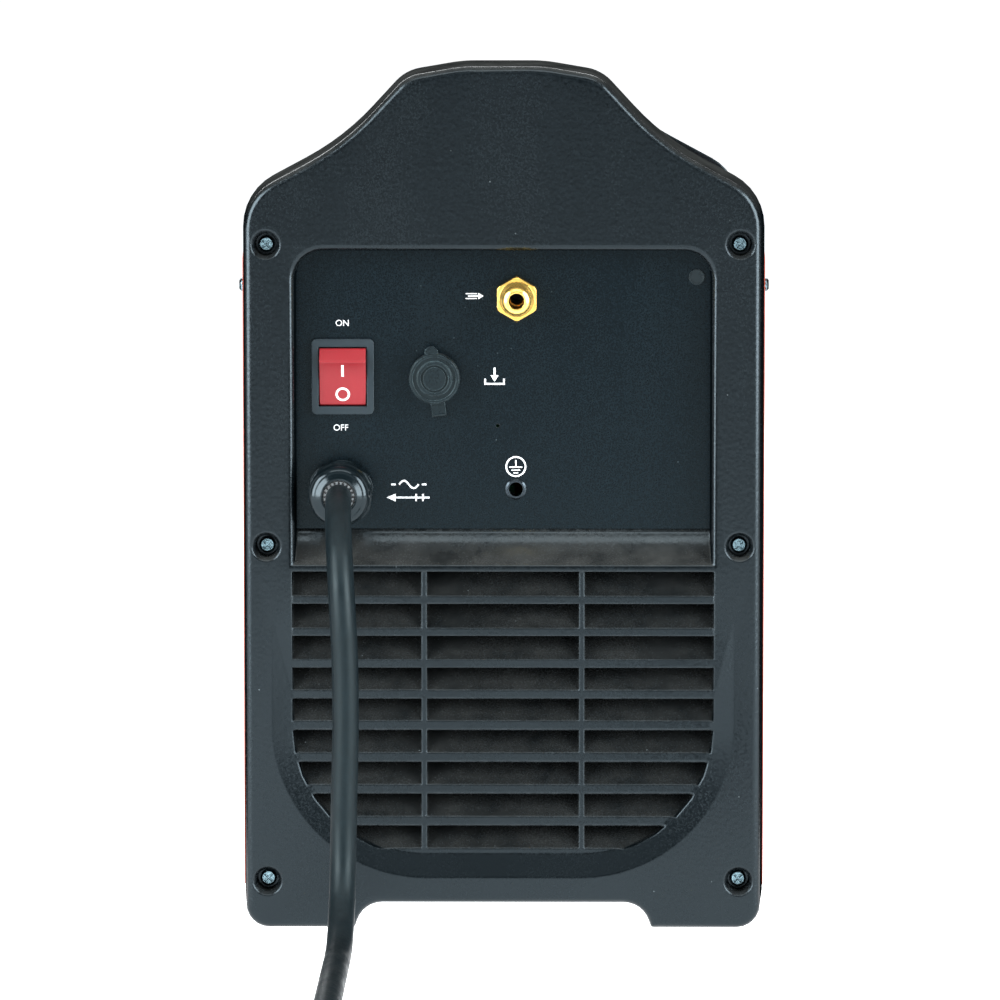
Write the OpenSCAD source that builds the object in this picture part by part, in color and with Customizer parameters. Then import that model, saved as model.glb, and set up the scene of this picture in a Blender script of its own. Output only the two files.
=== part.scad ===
// Air plasma cutting power unit in an upright sheet-metal case.
// Two moulded bezels carry the case, the carry handle and the feet.
// Millimetres. +Z up, feet stand on z = 0. The control side faces -Y and the
// mains inlet, switch and fan grille face +Y.

/* [Bezels] */
// Width of each moulded bezel where it meets the case
bezel_w = 215.8; // [215.2:0.2:216.2]
// Height of the rear bezel's hump above the floor
hump_h = 355.6; // [352:0.2:360]
// How much lower the front bezel's hump is than the rear one
front_drop = 6; // [3:1:10]
// Depth of each bezel from its outer face to the case
bezel_d = 38; // [34:1:42]
// How far the bezel narrows from the case to its outer face, each side
draft = 2.2; // [1:0.1:3]
// Rounding of the bezel's outer edge
edge_r = 3; // [2:0.5:4]
// Depth of the recesses for the panels
recess_d = 14; // [13:0.5:15]

/* [Case] */
// Distance between the outer faces of the two bezels
body_d = 400; // [380:10:460]
// Width of the sheet-metal cover
cover_w = 216.4; // [216:0.2:217]
// Height of the cover's flat top
cover_h = 296; // [290:1:298]
// Thickness of the cover sheet
sheet_t = 1.2; // [1:0.1:1.5]

/* [Rear grille] */
// Distance between neighbouring louvre blades
louvre_pitch = 13.2; // [12:0.1:14]
// Height of the front edge of one louvre blade
louvre_band = 3.6; // [3:0.1:4.5]
// Half the width of the grille opening
grille_hw = 86.4; // [84:0.2:88]
// Radius of the two lower corners of the grille opening
grille_r = 54; // [40:1:60]

/* [Mains switch] */
// Width of the switch frame
switch_w = 25.5; // [24:0.1:27]
// Height of the switch frame
switch_h = 31; // [30:0.1:33]
// Angle the rocker turns through
rocker_throw = 22; // [16:1:24]

/* [Mains lead] */
// Outer diameter of the lead
lead_d = 10.6; // [9:0.2:12]
// Middle diameter of the coiled lead
coil_d = 121; // [115:1:125]

/* [Front controls] */
// Diameter of the current knob
knob_d = 30; // [24:1:34]
// Diameter of each push button
button_d = 12; // [10:0.5:14]

/* [Fan] */
// Side of the square fan frame
fan_w = 119.5; // [119:0.5:120]
// Thickness of the fan
fan_t = 38; // [36:1:38]
// Number of fan blades
fan_blades = 7; // [5:1:9]

/* [Hidden] */
yf = body_d / 2;             // outer face of the rear bezel
yp = yf - recess_d;          // outer face of the rear panel
ye = yf - bezel_d;           // plane where bezel and cover meet
bw = bezel_w / 2;
panel_t = 1.5;
zfan = 88.3;                 // height of the fan's axis
sw_x = 65.8; sw_z = 226.4;   // mains switch
gl_x = 66.7; gl_z = 178.8;   // mains cable gland
gas_x = -5.6; gas_z = 258.5; // air inlet
cap_x = 28.1; cap_z = 225.9; // remote socket
ea_x = -5.2; ea_z = 180;     // earth terminal
bp_x = -79.3; bp_z = 267.2;  // blanking plug
screw_x = 96.8;
screw_z = [281, 157.5, 19.5];
tc_x = 42; ws_x = -42; so_z = 88;    // torch connector, work socket
kn_x = -45; kn_z = 202;              // current knob
bt_x = [22, 52]; bt_z = 202;         // push buttons
cover_y = yf - 50;                   // row of cover screws
cs_z = [262.5];
$fn = 48;

dark = [0.10, 0.12, 0.13];
orange = [0.80, 0.22, 0.08];
steel = [0.75, 0.77, 0.80];
brass = [0.85, 0.65, 0.20];
black = [0.05, 0.05, 0.06];

// ---------------------------------------------------------------- geometry
function unit(v) = v / norm(v);
function turn(a, b, c) = (b[0]-a[0])*(c[1]-b[1]) - (b[1]-a[1])*(c[0]-b[0]);

// arc of n steps that rounds corner b = [x, z, radius] between a and c
function round_corner(a, b, c, n) =
  let (p = [b[0], b[1]], u = unit([a[0]-b[0], a[1]-b[1]]), w = unit([c[0]-b[0], c[1]-b[1]]),
       half = acos(max(-1, min(1, u*w))) / 2,
       ctr = p + unit(u + w) * b[2] / sin(half),
       s = p + u * b[2] / tan(half), e = p + w * b[2] / tan(half),
       a0 = atan2(s[1]-ctr[1], s[0]-ctr[0]), a1 = atan2(e[1]-ctr[1], e[0]-ctr[0]),
       d = (a1 - a0 + 540) % 360 - 180)
  [for (i = [0:n]) ctr + b[2] * [cos(a0 + d*i/n), sin(a0 + d*i/n)]];

function rounded(P, n) = [for (i = [0:len(P)-1])
  each round_corner(P[(i+len(P)-1) % len(P)], P[i], P[(i+1) % len(P)], n)];

// corner b after the line a-b has moved inwards by d0 and b-c by d1
function moved(a, b, c, d0, d1) =
  let (e0 = unit([b[0]-a[0], b[1]-a[1]]), e1 = unit([c[0]-b[0], c[1]-b[1]]),
       n0 = [-e0[1], e0[0]], n1 = [-e1[1], e1[0]],
       k0 = n0 * [b[0], b[1]] + d0, k1 = n1 * [b[0], b[1]] + d1,
       det = n0[0]*n1[1] - n0[1]*n1[0])
  [(k0*n1[1] - k1*n0[1]) / det, (n0[0]*k1 - n1[0]*k0) / det];

// a counter-clockwise outline moved in by db on its underside and by d elsewhere
function inset(P, d, db) = [for (i = [0:len(P)-1])
  let (a = P[(i+len(P)-1) % len(P)], b = P[i], c = P[(i+1) % len(P)],
       d0 = (a[1] < 12 && b[1] < 12) ? db : d, d1 = (b[1] < 12 && c[1] < 12) ? db : d,
       q = moved(a, b, c, d0, d1), m = (d0 + d1) / 2)
  [q[0], q[1], max(0.5, b[2] + (turn(a, b, c) > 0 ? -m : m))]];

// bezel outline where it meets the case: feet, shoulders and hump
function bezel_corners(top) = let (h = top - 356.2) [
  [-61, 0, 1], [-57.4, 10.3, 11], [57.4, 10.3, 11], [61, 0, 1],
  [bw, 0, 10.5], [bw, 301.7 + h*0.2, 24], [65.9, 324.2 + h*0.2, 105],
  [40.5 + h*0.15, 352.2 + h, 18], [16.8, 356.2 + h, 60],
  [-16.8, 356.2 + h, 60], [-40.5 - h*0.15, 352.2 + h, 18],
  [-65.9, 324.2 + h*0.2, 105], [-bw, 301.7 + h*0.2, 24], [-bw, 0, 10.5]];

function bezel_ring(top, d, db) = rounded(inset(bezel_corners(top), d, db), 6);

function box_corners(hw, z0, z1, r0, r1) =
  [[-hw, z0, r0], [hw, z0, r0], [hw, z1, r1], [-hw, z1, r1]];

// skin over outlines P (x, z) at places Y along y; each end is a fan about height c,
// from where the whole outline can be seen
module loft_y(Y, P, c) {
  n = len(P[0]); m = len(Y) - 1;
  polyhedron(
    points = concat([for (k = [0:m]) for (p = P[k]) [p[0], Y[k], p[1]]], [[0, Y[0], c], [0, Y[m], c]]),
    faces = concat(
      [for (i = [0:n-1]) [(i+1)%n, i, (m+1)*n]],
      [for (k = [0:m-1]) for (i = [0:n-1]) each [
        [k*n+i, k*n+(i+1)%n, (k+1)*n+(i+1)%n],
        [k*n+i, (k+1)*n+(i+1)%n, (k+1)*n+i]]],
      [for (i = [0:n-1]) [m*n+i, m*n+(i+1)%n, (m+1)*n+1]]),
    convexity = 10);
}

module ext_y(y0, y1) translate([0, y1, 0]) rotate([90, 0, 0]) linear_extrude(y1 - y0, convexity = 10) children();
module ext_x(x0, x1) translate([x0, 0, 0]) rotate([90, 0, 90]) linear_extrude(x1 - x0, convexity = 10) children();
module rr(hw, z0, z1, r0, r1) polygon(rounded(box_corners(hw, z0, z1, r0, r1), 8));
// cylinder along +y from y0 to y1
module cy(x, z, y0, y1, ra, rb = -1) translate([x, y0, z]) rotate([-90, 0, 0]) cylinder(h = y1 - y0, r1 = ra, r2 = rb < 0 ? ra : rb);
module cx(y, z, x0, x1, r) translate([x0, y, z]) rotate([0, 90, 0]) cylinder(h = x1 - x0, r = r);
module block(x0, x1, y0, y1, z0, z1) translate([x0, y0, z0]) cube([x1-x0, y1-y0, z1-z0]);
module hex_y(x, z, y0, y1, af, turned = 0) translate([x, y1, z]) rotate([90, 0, 0]) rotate(turned) cylinder(h = y1 - y0, d = af / cos(30), $fn = 6);
module both() { children(); mirror([1, 0, 0]) children(); }

// tube swept along rounded route points, s sides
function route_arc(R, n) = [for (i = [0:len(R)-1])
  each (i == 0 || i == len(R)-1 || R[i][3] == 0 ? [[R[i][0], R[i][1], R[i][2]]] :
    let (p = [R[i][0], R[i][1], R[i][2]],
         a = [R[i-1][0], R[i-1][1], R[i-1][2]], c = [R[i+1][0], R[i+1][1], R[i+1][2]],
         u = unit(a - p), w = unit(c - p), half = acos(max(-1, min(1, u*w))) / 2,
         r = R[i][3], t = r / tan(half), ctr = p + unit(u + w) * r / sin(half),
         s = p + u * t - ctr, sweep = 180 - 2 * half)
    [for (k = [0:n]) let (g = sweep * k / n) ctr + s * cos(g) - u * r * sin(g)])];

function tangent(C, i) = unit(i == 0 ? C[1] - C[0] : i == len(C)-1 ? C[i] - C[i-1] : unit(C[i+1] - C[i]) + unit(C[i] - C[i-1]));
// frames carried along the line without twist
function carried(C, i, v) = i == len(C) ? [] :
  let (t = tangent(C, i), w = unit(v - t * (v * t))) concat([[t, w]], carried(C, i + 1, w));

module sweep_tube(R, r, s, n, start) {
  C = route_arc(R, n);
  F = carried(C, 0, start);
  m = len(C);
  polyhedron(
    points = [for (i = [0:m-1]) let (w = F[i][1], q = cross(F[i][0], w))
      for (j = [0:s-1]) C[i] + r * (w * cos(360*j/s) + q * sin(360*j/s))],
    faces = concat(
      [[for (j = [0:s-1]) j]],
      [for (i = [0:m-2]) for (j = [0:s-1]) each [
        [i*s+j, (i+1)*s+j, (i+1)*s+(j+1)%s],
        [i*s+j, (i+1)*s+(j+1)%s, i*s+(j+1)%s]]],
      [[for (j = [s-1:-1:0]) (m-1)*s + j]]),
    convexity = 10);
}

// ------------------------------------------------------------------ bezels
module bezel_shell(top) {
  fil = 5;
  difference() {
    loft_y(concat([ye], [for (i = [0:fil]) yf - edge_r + edge_r * sin(90*i/fil)]),
      concat([bezel_ring(top, 0, 0)],
             [for (i = [0:fil]) bezel_ring(top, draft + edge_r*(1 - cos(90*i/fil)), edge_r*(1 - cos(90*i/fil)))]), 300);
    // hollow behind the face, closed above the cover
    ext_y(ye + 3, yf - 4) polygon(bezel_ring(top, draft + 2.8, 3.2));
    intersection() {
      ext_y(ye - 1, ye + 4) polygon(bezel_ring(top, draft + 2.8, 3.2));
      block(-120, 120, ye - 2, ye + 5, -1, 289);
    }
    both() cy(11, 336.4, ye - 1, ye + 4, 2.05);
  }
}

module wells() both() for (z = screw_z) cy(screw_x, z, yp + 0.1, yf - 3, 7);
module well_holes() both() for (z = screw_z) {
  cy(screw_x, z, yp + 3, yf + 1, 4.6);
  cy(screw_x, z, yf - 1.5, yf + 0.01, 4.6, 6.1);
  cy(screw_x, z, yp - 1, yp + 4, 2.2);
}

// recess with a rounded rim, from the panel out through the face
module recess_cut(z0, z1, rb) {
  Y = concat([yp - 0.5, yf - 2.4], [for (i = [1:4]) yf - 2.4 + 2.4 * sin(90*i/4)], [yf + 1]);
  O = concat([0, 0.4], [for (i = [1:4]) 0.4 + 2.2 * (1 - cos(90*i/4))], [2.6]);
  loft_y(Y, [for (o = O) rounded(box_corners(84.9 + o, z0 - o, z1 + o, rb + o*0.8, 11 + o*0.9), 6)], (z0 + z1)/2);
}

module grille_outline(grow) rr(grille_hw + grow, 29.3 - grow, 147.3 + (grow > 0 ? 0.5 : 0), grille_r + grow, 0.6);

module louvres() intersection() {
  ext_x(-100, 100) for (k = [0:8]) let (z = 135.75 - louvre_pitch*k, b = louvre_band/2)
    polygon([[yf - 0.8, z - b], [yf - 0.8, z + b - 0.5], [yf - 1.3, z + b], [yf - 1.8, z + b],
             [yf - 13, z + louvre_pitch - b], [yf - 13, z + louvre_pitch - b - 4], [yf - 2, z - b]]);
  ext_y(yf - 20, yf + 2) grille_outline(1);
}

module rear_bezel() color(dark) difference() {
  union() {
    bezel_shell(hump_h);
    ext_y(yp + 0.1, yf - 3) rr(88.2, 147.3, 281.6, 1, 13);
    ext_y(yp + 1, yf - 3) grille_outline(2.4);
    wells();
  }
  // recess that ends below in a hollow scoop with a rounded lip
  intersection() {
    recess_cut(148, 278.2, 1);
    ext_x(-100, 100) let (r = recess_d*1.457, e = recess_d*0.0979)
      polygon(concat([[yf + 2, 290], [yp - 1, 290], [yp - 1, 150 + recess_d]],
        [for (i = [0:9]) [yp + r*(cos(16) - cos(16 + 6*i)), 150 + recess_d - r*(sin(16 + 6*i) - sin(16))]],
        [for (i = [1:5]) [yf - e*(1 - cos(70 - 14*i))/(1 - cos(70)), 148.6 + 1.95*sin(70 - 14*i)/sin(70)]], [[yf + 2, 148.6]]));
  }
  // spaces between the louvre blades and the two upright ribs
  difference() {
    ext_y(yp - 1, yf + 1) grille_outline(0);
    louvres();
    both() block(31.2, 33.4, yp + 2, yf - 0.8, 20, 150);
  }
  // shallow dished band round the lower end of the grille
  intersection() {
    union() {
      ext_x(-31.6, 31.6) polygon([[yf + 1, 20.9], [yf, 20.9], [yf - 2.6, 30.5], [yf - 2.6, 140], [yf + 1, 140]]);
      both() intersection() {
        translate([31.6, yf, 83.9]) rotate([-90, 0, 0]) rotate_extrude() polygon([[0, -2.6], [53.4, -2.6], [63, 0], [63, 1], [0, 1]]);
        block(31.6, 100, yf - 4, yf + 2, 10, 83.9);
      }
      translate([0, 0, 83.9]) linear_extrude(56) polygon([[-94.6, yf + 1], [-94.6, yf], [-85, yf - 2.6],
        [85, yf - 2.6], [94.6, yf], [94.6, yf + 1]]);
    }
    ext_x(-100, 100) polygon([[yf + 1.5, 10], [yf + 1.5, 128], [yf, 128], [yf - 2.6, 90], [yf - 3, 90], [yf - 3, 10]]);
  }
  well_holes();
}

module front_bezel() color(dark) mirror([0, 1, 0]) difference() {
  union() {
    bezel_shell(hump_h - front_drop);
    ext_y(yp + 0.1, yf - 3) rr(88.2, 159.6, 281.6, 13, 13);
    ext_y(yp + 0.1, yf - 3) rr(88.2, 24.4, 151.2, 13, 13);
    wells();
  }
  recess_cut(163, 278.2, 11);
  recess_cut(27.8, 147.8, 11);
  well_holes();
}

// ------------------------------------------------------------------- panels
module panel_blank() {
  ext_y(yp - panel_t, yp) rr(101.5, 15.7, 290, 3, 10);
  // side flanges that step outwards to carry the cover screws
  both() translate([0, 0, 20]) linear_extrude(252) polygon([
    [101.5, yp - panel_t - 0.01], [101.5, ye - 5], [106.9, ye - 10.5], [106.9, cover_y - 10],
    [105.4, cover_y - 10], [105.4, ye - 11.1], [100, ye - 5.6], [100, yp - panel_t + 0.1], [101.5, yp - panel_t + 0.1]]);
}
module flange_holes() both() for (z = cs_z) cx(cover_y, z, 98, 108, 1.8);
module panel_screw_holes() both() for (z = screw_z) cy(screw_x, z, yp - 3, yp + 1, 2.05);

module rear_panel() color([0.11, 0.13, 0.14]) difference() {
  panel_blank();
  cy(0, zfan, yp - 3, yp + 1, 57);
  for (a = [-52.5, 52.5], b = [-52.5, 52.5]) cy(a, zfan + b, yp - 3, yp + 1, 2.1);
  block(sw_x - 11.1, sw_x + 11.1, yp - 3, yp + 1, sw_z - 14.2, sw_z + 14.2);
  cy(gl_x, gl_z, yp - 3, yp + 1, 11.2);
  cy(gas_x, gas_z, yp - 3, yp + 1, 5.1);
  cy(cap_x, cap_z, yp - 3, yp + 1, 8.05);
  cy(ea_x, ea_z, yp - 3, yp + 1, 3.65);
  cy(bp_x, bp_z, yp - 3, yp + 1, 2.65);
  cy(2.2, 206.1, yp - 3, yp + 1, 0.75);
  cy(26.3, 212.1, yp - 3, yp + 1, 1.35);
  panel_screw_holes();
  flange_holes();
}

module front_panel() color([0.11, 0.13, 0.14]) mirror([0, 1, 0]) difference() {
  panel_blank();
  cy(tc_x, so_z, yp - 3, yp + 1, 17.2);
  cy(ws_x, so_z, yp - 3, yp + 1, 15.2);
  cy(kn_x, kn_z, yp - 3, yp + 1, 4.6);
  for (x = bt_x) cy(x, bt_z, yp - 3, yp + 1, button_d/2 + 0.4);
  block(-27, 27, yp - 3, yp + 1, 236, 260);
  for (i = [0:3]) cy(-24 + 16*i, 226, yp - 3, yp + 1, 1.8);
  // cooling air slots between and below the sockets
  for (i = [-2:2]) block(i*6 - 1.6, i*6 + 1.6, yp - 3, yp + 1, 108, 140);
  for (i = [-6:6]) block(i*10 - 3.4, i*10 + 3.4, yp - 3, yp + 1, 36, 40);
  panel_screw_holes();
  flange_holes();
}

// --------------------------------------------------------------- sheet metal
module case_cover() color(orange) {
  hw = cover_w / 2;
  difference() {
    ext_y(-ye + 0.1, ye - 0.1) difference() {
      rr(hw, 12, cover_h, 1, 22);
      rr(hw - sheet_t, 5, cover_h - sheet_t, 0.5, 22 - sheet_t);
    }
    // two groups of air slots on each side
    both() for (i = [0:7]) block(hw - 3, hw + 3, -112, -72, 62 + i*10, 65.4 + i*10);
    both() for (i = [0:7]) block(hw - 3, hw + 3, 42, 82, 172 + i*10, 175.4 + i*10);
    for (y = [-cover_y, cover_y], z = cs_z) both() cx(y, z, hw - 4, hw + 3, 1.8);
  }
}

module base_plate() color(steel) difference() {
  union() {
    block(-102, 102, -yp, yp, 14, 15.5);
    block(-106.9, 106.9, -ye + 4, ye - 4, 14, 15.5);
    both() block(105.4, 106.9, -cover_y + 14, cover_y - 14, 15.4, 34);
  }
  for (i = [-6:6]) block(i*12 - 3, i*12 + 3, -30, 30, 13, 17);
}

module divider_plate() color(steel) difference() {
  union() {
    block(-100, 100, -104, 136, 150, 151.2);
    both() block(98.8, 100, -104, 136, 138, 150.1);
    // legs that stand on the base plate
    both() for (y = [-103, 123]) block(90, 91.2, y, y + 12, 15.6, 150.1);
  }
  for (i = [-3:3]) block(i*24 - 8, i*24 + 8, 70, 76, 149, 153);
}

// ------------------------------------------------------------- carry handle
module handle_bar() color(black) {
  h = 12.2; zc = 336.4;
  difference() {
    union() {
      ext_y(-ye + 0.1, ye - 0.1) rr2(17, zc - h, zc + h, 9);
      // spread feet at both ends
      for (s = [0, 1]) mirror([0, s, 0]) ext_y(ye - 7, ye - 0.1) rr2(24, zc - 17, zc + h + 0.6, 9);
    }
    // blind holes for the screws from inside the humps
    for (s = [0, 1]) mirror([0, s, 0]) both() cy(11, zc, ye - 12, ye, 2.05);
    // waist that takes the soft grip
    ext_y(-96, 96) difference() { rr2(20, zc - 16, zc + 16, 9); rr2(14.6, zc - h + 2.4, zc + h - 2.4, 7); }
  }
}
module rr2(hw, z0, z1, r) rr(hw, z0, z1, r, r);

module handle_grip() color([0.16, 0.16, 0.17]) {
  h = 12.2; zc = 336.4;
  ext_y(-95.9, 95.9) difference() { rr2(17.2, zc - h, zc + h - 0.2, 9); rr2(14.7, zc - h + 2.3, zc + h - 2.3, 7); }
  // finger ribs underneath
  for (i = [-8:8]) block(-9, 9, i*11 - 2, i*11 + 2, zc - h - 0.9, zc - h + 0.4);
}

// --------------------------------------------------------------- fasteners
module pan_screw(y, l, r = 2, hr = 3.4, hh = 2.3) {
  // head towards +y, its seat at y
  difference() {
    union() {
      translate([0, y, 0]) rotate([-90, 0, 0]) cylinder(h = hh - 0.8, r = hr);
      translate([0, y + hh - 0.8, 0]) rotate([-90, 0, 0]) cylinder(h = 0.8, r1 = hr, r2 = hr - 0.9);
      translate([0, y - l, 0]) rotate([-90, 0, 0]) cylinder(h = l + 0.1, r = r);
    }
    for (a = [45, 135]) translate([0, y + hh, 0]) rotate([0, a, 0]) cube([0.95, 3.2, hr*1.3], center = true);
  }
}

module rear_bezel_screws() color(steel) both() for (z = screw_z) translate([screw_x, 0, z]) pan_screw(yp + 3.05, 12);
module front_bezel_screws() color(steel) mirror([0, 1, 0]) both() for (z = screw_z) translate([screw_x, 0, z]) pan_screw(yp + 3.05, 12);
// side screws of the cover, screws of the handle and of the fan
module case_screws() color(steel) {
  both() for (y = [-cover_y, cover_y], z = cs_z)
    translate([cover_w/2 + 0.02, y, z]) rotate([0, 0, -90]) pan_screw(0, 6, 1.74, 2.8, 1.9);
  for (s = [0, 1]) mirror([0, s, 0]) both()
    translate([11, 0, 336.4]) pan_screw(ye + 3.05, 13, 2, 3.6, 2.4);
  for (a = [-52.5, 52.5], b = [-52.5, 52.5]) translate([a, 0, zfan + b]) {
    cy(0, 0, yp + 0.05, yp + 0.9, 3.3);
    cy(0, 0, yp - 42, yp + 0.1, 1.9);
  }
}

// ------------------------------------------------------------ mains switch
module switch_body() color([0.07, 0.07, 0.08]) difference() {
  union() {
    ext_y(yp + 0.05, yp + 2.6) translate([sw_x, sw_z]) polygon(rounded([
      [-switch_w/2, -switch_h/2, 2], [switch_w/2, -switch_h/2, 2], [switch_w/2, switch_h/2, 2], [-switch_w/2, switch_h/2, 2]], 5));
    block(sw_x - 10.9, sw_x + 10.9, yp - 20, yp + 0.1, sw_z - 14, sw_z + 14);
  }
  block(sw_x - 9.9, sw_x + 9.9, yp - 7, yp + 3, sw_z - 12.2, sw_z + 12.2);
  cx(yp + 0.6, sw_z, sw_x - 10.6, sw_x + 10.6, 1.25);
}

// rocker, drawn level and set over to its rest position
module switch_rocker() color([0.78, 0.10, 0.14])
  translate([sw_x, yp + 0.6, sw_z]) rotate([-rocker_throw/2, 0, 0]) union() {
    ext_x(-9.6, 9.6) polygon([[-3, -11.3], [1.6, -11.75], [2.9, -11.45], [3.4, -10.7], [3, -5.5], [2.8, 0],
                              [3.3, 3.6], [4.7, 7.1], [4.4, 7.9], [0.3, 11.85], [-3, 11.4]]);
    cx(0, 0, -10.5, 10.5, 1.18);
  }

module switch_terminals() color([0.80, 0.78, 0.70]) for (x = [-5.5, 5.5], z = [-7.5, 7.5])
  block(sw_x + x - 0.4, sw_x + x + 0.4, yp - 30, yp - 20.05, sw_z + z - 3.15, sw_z + z + 3.15);

// -------------------------------------------------------------- cable gland
module gland_body() color(black) difference() {
  union() {
    intersection() { hex_y(gl_x, gl_z, yp + 0.05, yp + 6.5, 26, 38); cy(gl_x, gl_z, yp, yp + 7, 13.7); }
    cy(gl_x, gl_z, yp - 12, yp + 12, 11);
  }
  cy(gl_x, gl_z, yp - 13, yp + 13, 7.2);
}
module gland_locknut() color(black) difference() {
  hex_y(gl_x, gl_z, yp - 6.6, yp - panel_t - 0.05, 27, 0);
  cy(gl_x, gl_z, yp - 8, yp, 11.05);
}
// domed cap nut with six shallow flats near its base
module gland_nut() color(black) translate([gl_x, 0, gl_z]) rotate([-90, 0, 0]) translate([0, 0, yp]) difference() {
  rotate_extrude() polygon(concat([[11.1, 6.6], [12.6, 6.6], [13.1, 7.2], [13.1, 13.6], [12.4, 14.3]],
    [for (i = [0:9]) [9 + 3.4*cos(9*i), 20.6 + 3.4*sin(9*i)]],
    [[7.4, 24.8], [6.6, 24.6], [6.6, 14], [11.1, 12.4]]));
  for (a = [0:60:300]) rotate(a + 30) translate([12.55, -8, 8]) cube([3, 16, 6]);
}
// rubber seal and clamping fingers that hold the lead
module gland_seal() color([0.08, 0.08, 0.09]) translate([gl_x, 0, gl_z]) rotate([-90, 0, 0]) translate([0, 0, yp]) {
  translate([0, 0, 12.6]) cylinder(h = 13.4, r = 5.3);
  difference() {
    translate([0, 0, 14.2]) cylinder(h = 8.4, r = 6.5);
    translate([0, 0, 14]) cylinder(h = 12, r = 5.25);
  }
  difference() {
    translate([0, 0, 22.5]) cylinder(h = 2.1, r = 6.2);
    translate([0, 0, 22]) cylinder(h = 3, r = 5.25);
    for (i = [0:19]) rotate(18*i) translate([5, -0.4, 22.9]) cube([3, 0.8, 3]);
  }
}

// ---------------------------------------------------------------- air inlet
module air_inlet() color(brass) difference() {
  union() {
    intersection() {
      hex_y(gas_x, gas_z, yp + 0.05, yp + 8, 16, 30);
      translate([gas_x, yp, gas_z]) rotate([-90, 0, 0]) rotate_extrude() polygon([[0, 0], [9.3, 0], [9.3, 7.2], [8.6, 8.1], [0, 8.1]]);
    }
    translate([gas_x, yp, gas_z]) rotate([-90, 0, 0]) rotate_extrude() polygon([
      [0, 7.9], [7.1, 7.9], [7.1, 10.2], [5.9, 11.4], [5.9, 22], [5.6, 22.9], [5, 23.6], [4.1, 24], [3.95, 24.1], [3.95, 26.5], [0, 26.5]]);
    cy(gas_x, gas_z, yp - 4, yp + 0.2, 5);
  }
  cy(gas_x, gas_z, yp - 5, yp + 27, 3.25);
}

// brass valve block behind the inlet with its coil on top
module valve_block() color(brass) difference() {
  union() {
    block(gas_x - 13, gas_x + 13, yp - 34, yp - 4.05, gas_z - 13, gas_z + 9);
    cy(gas_x, gas_z, yp - 42, yp - 33.9, 4.5);
  }
  cy(gas_x, gas_z, yp - 43, yp - 3, 3);
  translate([gas_x, yp - 19, gas_z - 1]) cylinder(h = 15, r = 4.1);
}
module valve_coil() color([0.12, 0.12, 0.13]) difference() {
  translate([gas_x, yp - 19, gas_z + 9.05]) union() {
    translate([-14, -12, 0]) cube([28, 24, 18]);
    translate([-7, -19, 3]) cube([14, 8, 12]);
  }
  translate([gas_x, yp - 19, gas_z + 9]) cylinder(h = 16, r = 4.1);
}
module valve_plunger() color(steel) translate([gas_x, yp - 19, gas_z + 3.4]) union() {
  cylinder(h = 17.6, r = 4.04);
  translate([0, 0, -0.6]) cylinder(h = 0.7, r = 3.2);
}

// -------------------------------------------------------------- remote socket
cap_a = 7;   // the strap leans this far from straight down
module remote_socket() color([0.70, 0.71, 0.72]) difference() {
  union() {
    cy(cap_x, cap_z, yp + 0.05, yp + 1.3, 8.8);
    cy(cap_x, cap_z, yp - 12, yp + 5, 7.8);
  }
  cy(cap_x, cap_z, yp - 6, yp + 6, 6.4);
}
module remote_insert() color([0.09, 0.09, 0.10]) difference() {
  union() {
    cy(cap_x, cap_z, yp - 5.95, yp + 1.5, 6.3);
    for (i = [0:4]) let (a = 72*i + 20) cy(cap_x + 3.7*cos(a), cap_z + 3.7*sin(a), yp + 1.4, yp + 4, 0.6);
  }
  cy(cap_x, cap_z, yp, yp + 2, 1);
}
// nuts behind the panels, on the remote, torch and work sockets
module panel_nuts() color([0.70, 0.71, 0.72]) {
  difference() {
    hex_y(cap_x, cap_z, yp - 4.2, yp - panel_t - 0.05, 19, 0);
    cy(cap_x, cap_z, yp - 6, yp, 7.85);
  }
  mirror([0, 1, 0]) difference() {
    hex_y(tc_x, so_z, yp - 15, yp - 6.1, 40, 0);
    cy(tc_x, so_z, yp - 16, yp - 5, 16.05);
  }
  mirror([0, 1, 0]) difference() {
    hex_y(ws_x, so_z, yp - 14, yp - 8.1, 34, 0);
    cy(ws_x, so_z, yp - 15, yp - 8, 12.05);
  }
}
// rubber dust cap with its pull tab and strap, turning on the bead at the strap's foot
module dust_cap() color([0.13, 0.13, 0.14]) translate([cap_x, 0, cap_z]) rotate([0, cap_a, 0]) difference() {
  union() {
    cy(0, 0, yp + 0.5, yp + 7.6, 10.35);
    cy(0, 0, yp + 7.5, yp + 8.2, 10.35, 9.9);
    // raised ring and middle disc
    cy(0, 0, yp + 8, yp + 8.9, 7.2, 6.9);
    // pull tab
    cy(0, 10.6, yp + 5.6, yp + 7.4, 2.7);
    // strap and its bead
    block(-2.9, 2.9, yp + 0.5, yp + 2, -14.9, -8);
    translate([0, yp + 1.25, -15.2]) rotate([0, 90, 0]) translate([0, 0, -2.9]) cylinder(h = 5.8, r = 0.9);
  }
  cy(0, 0, yp, yp + 6.4, 9.3);
  // grooves in the face
  difference() { cy(0, 0, yp + 7.5, yp + 9, 8.9); cy(0, 0, yp + 7, yp + 9.5, 7.25); }
  difference() { cy(0, 0, yp + 7.7, yp + 9.5, 5.7); cy(0, 0, yp + 7, yp + 8.5, 4.7); }
}

// -------------------------------------------------------- small panel pieces
module earth_terminal() color(steel) difference() {
  union() {
    cy(ea_x, ea_z, yp + 0.05, yp + 0.6, 4.3);
    cy(ea_x, ea_z, yp + 0.59, yp + 1.1, 4.3, 3.6);
    cy(ea_x, ea_z, yp - 11, yp + 0.2, 3.6);
  }
  cy(ea_x, ea_z, yp - 12, yp + 2, 2.9);
}
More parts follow.
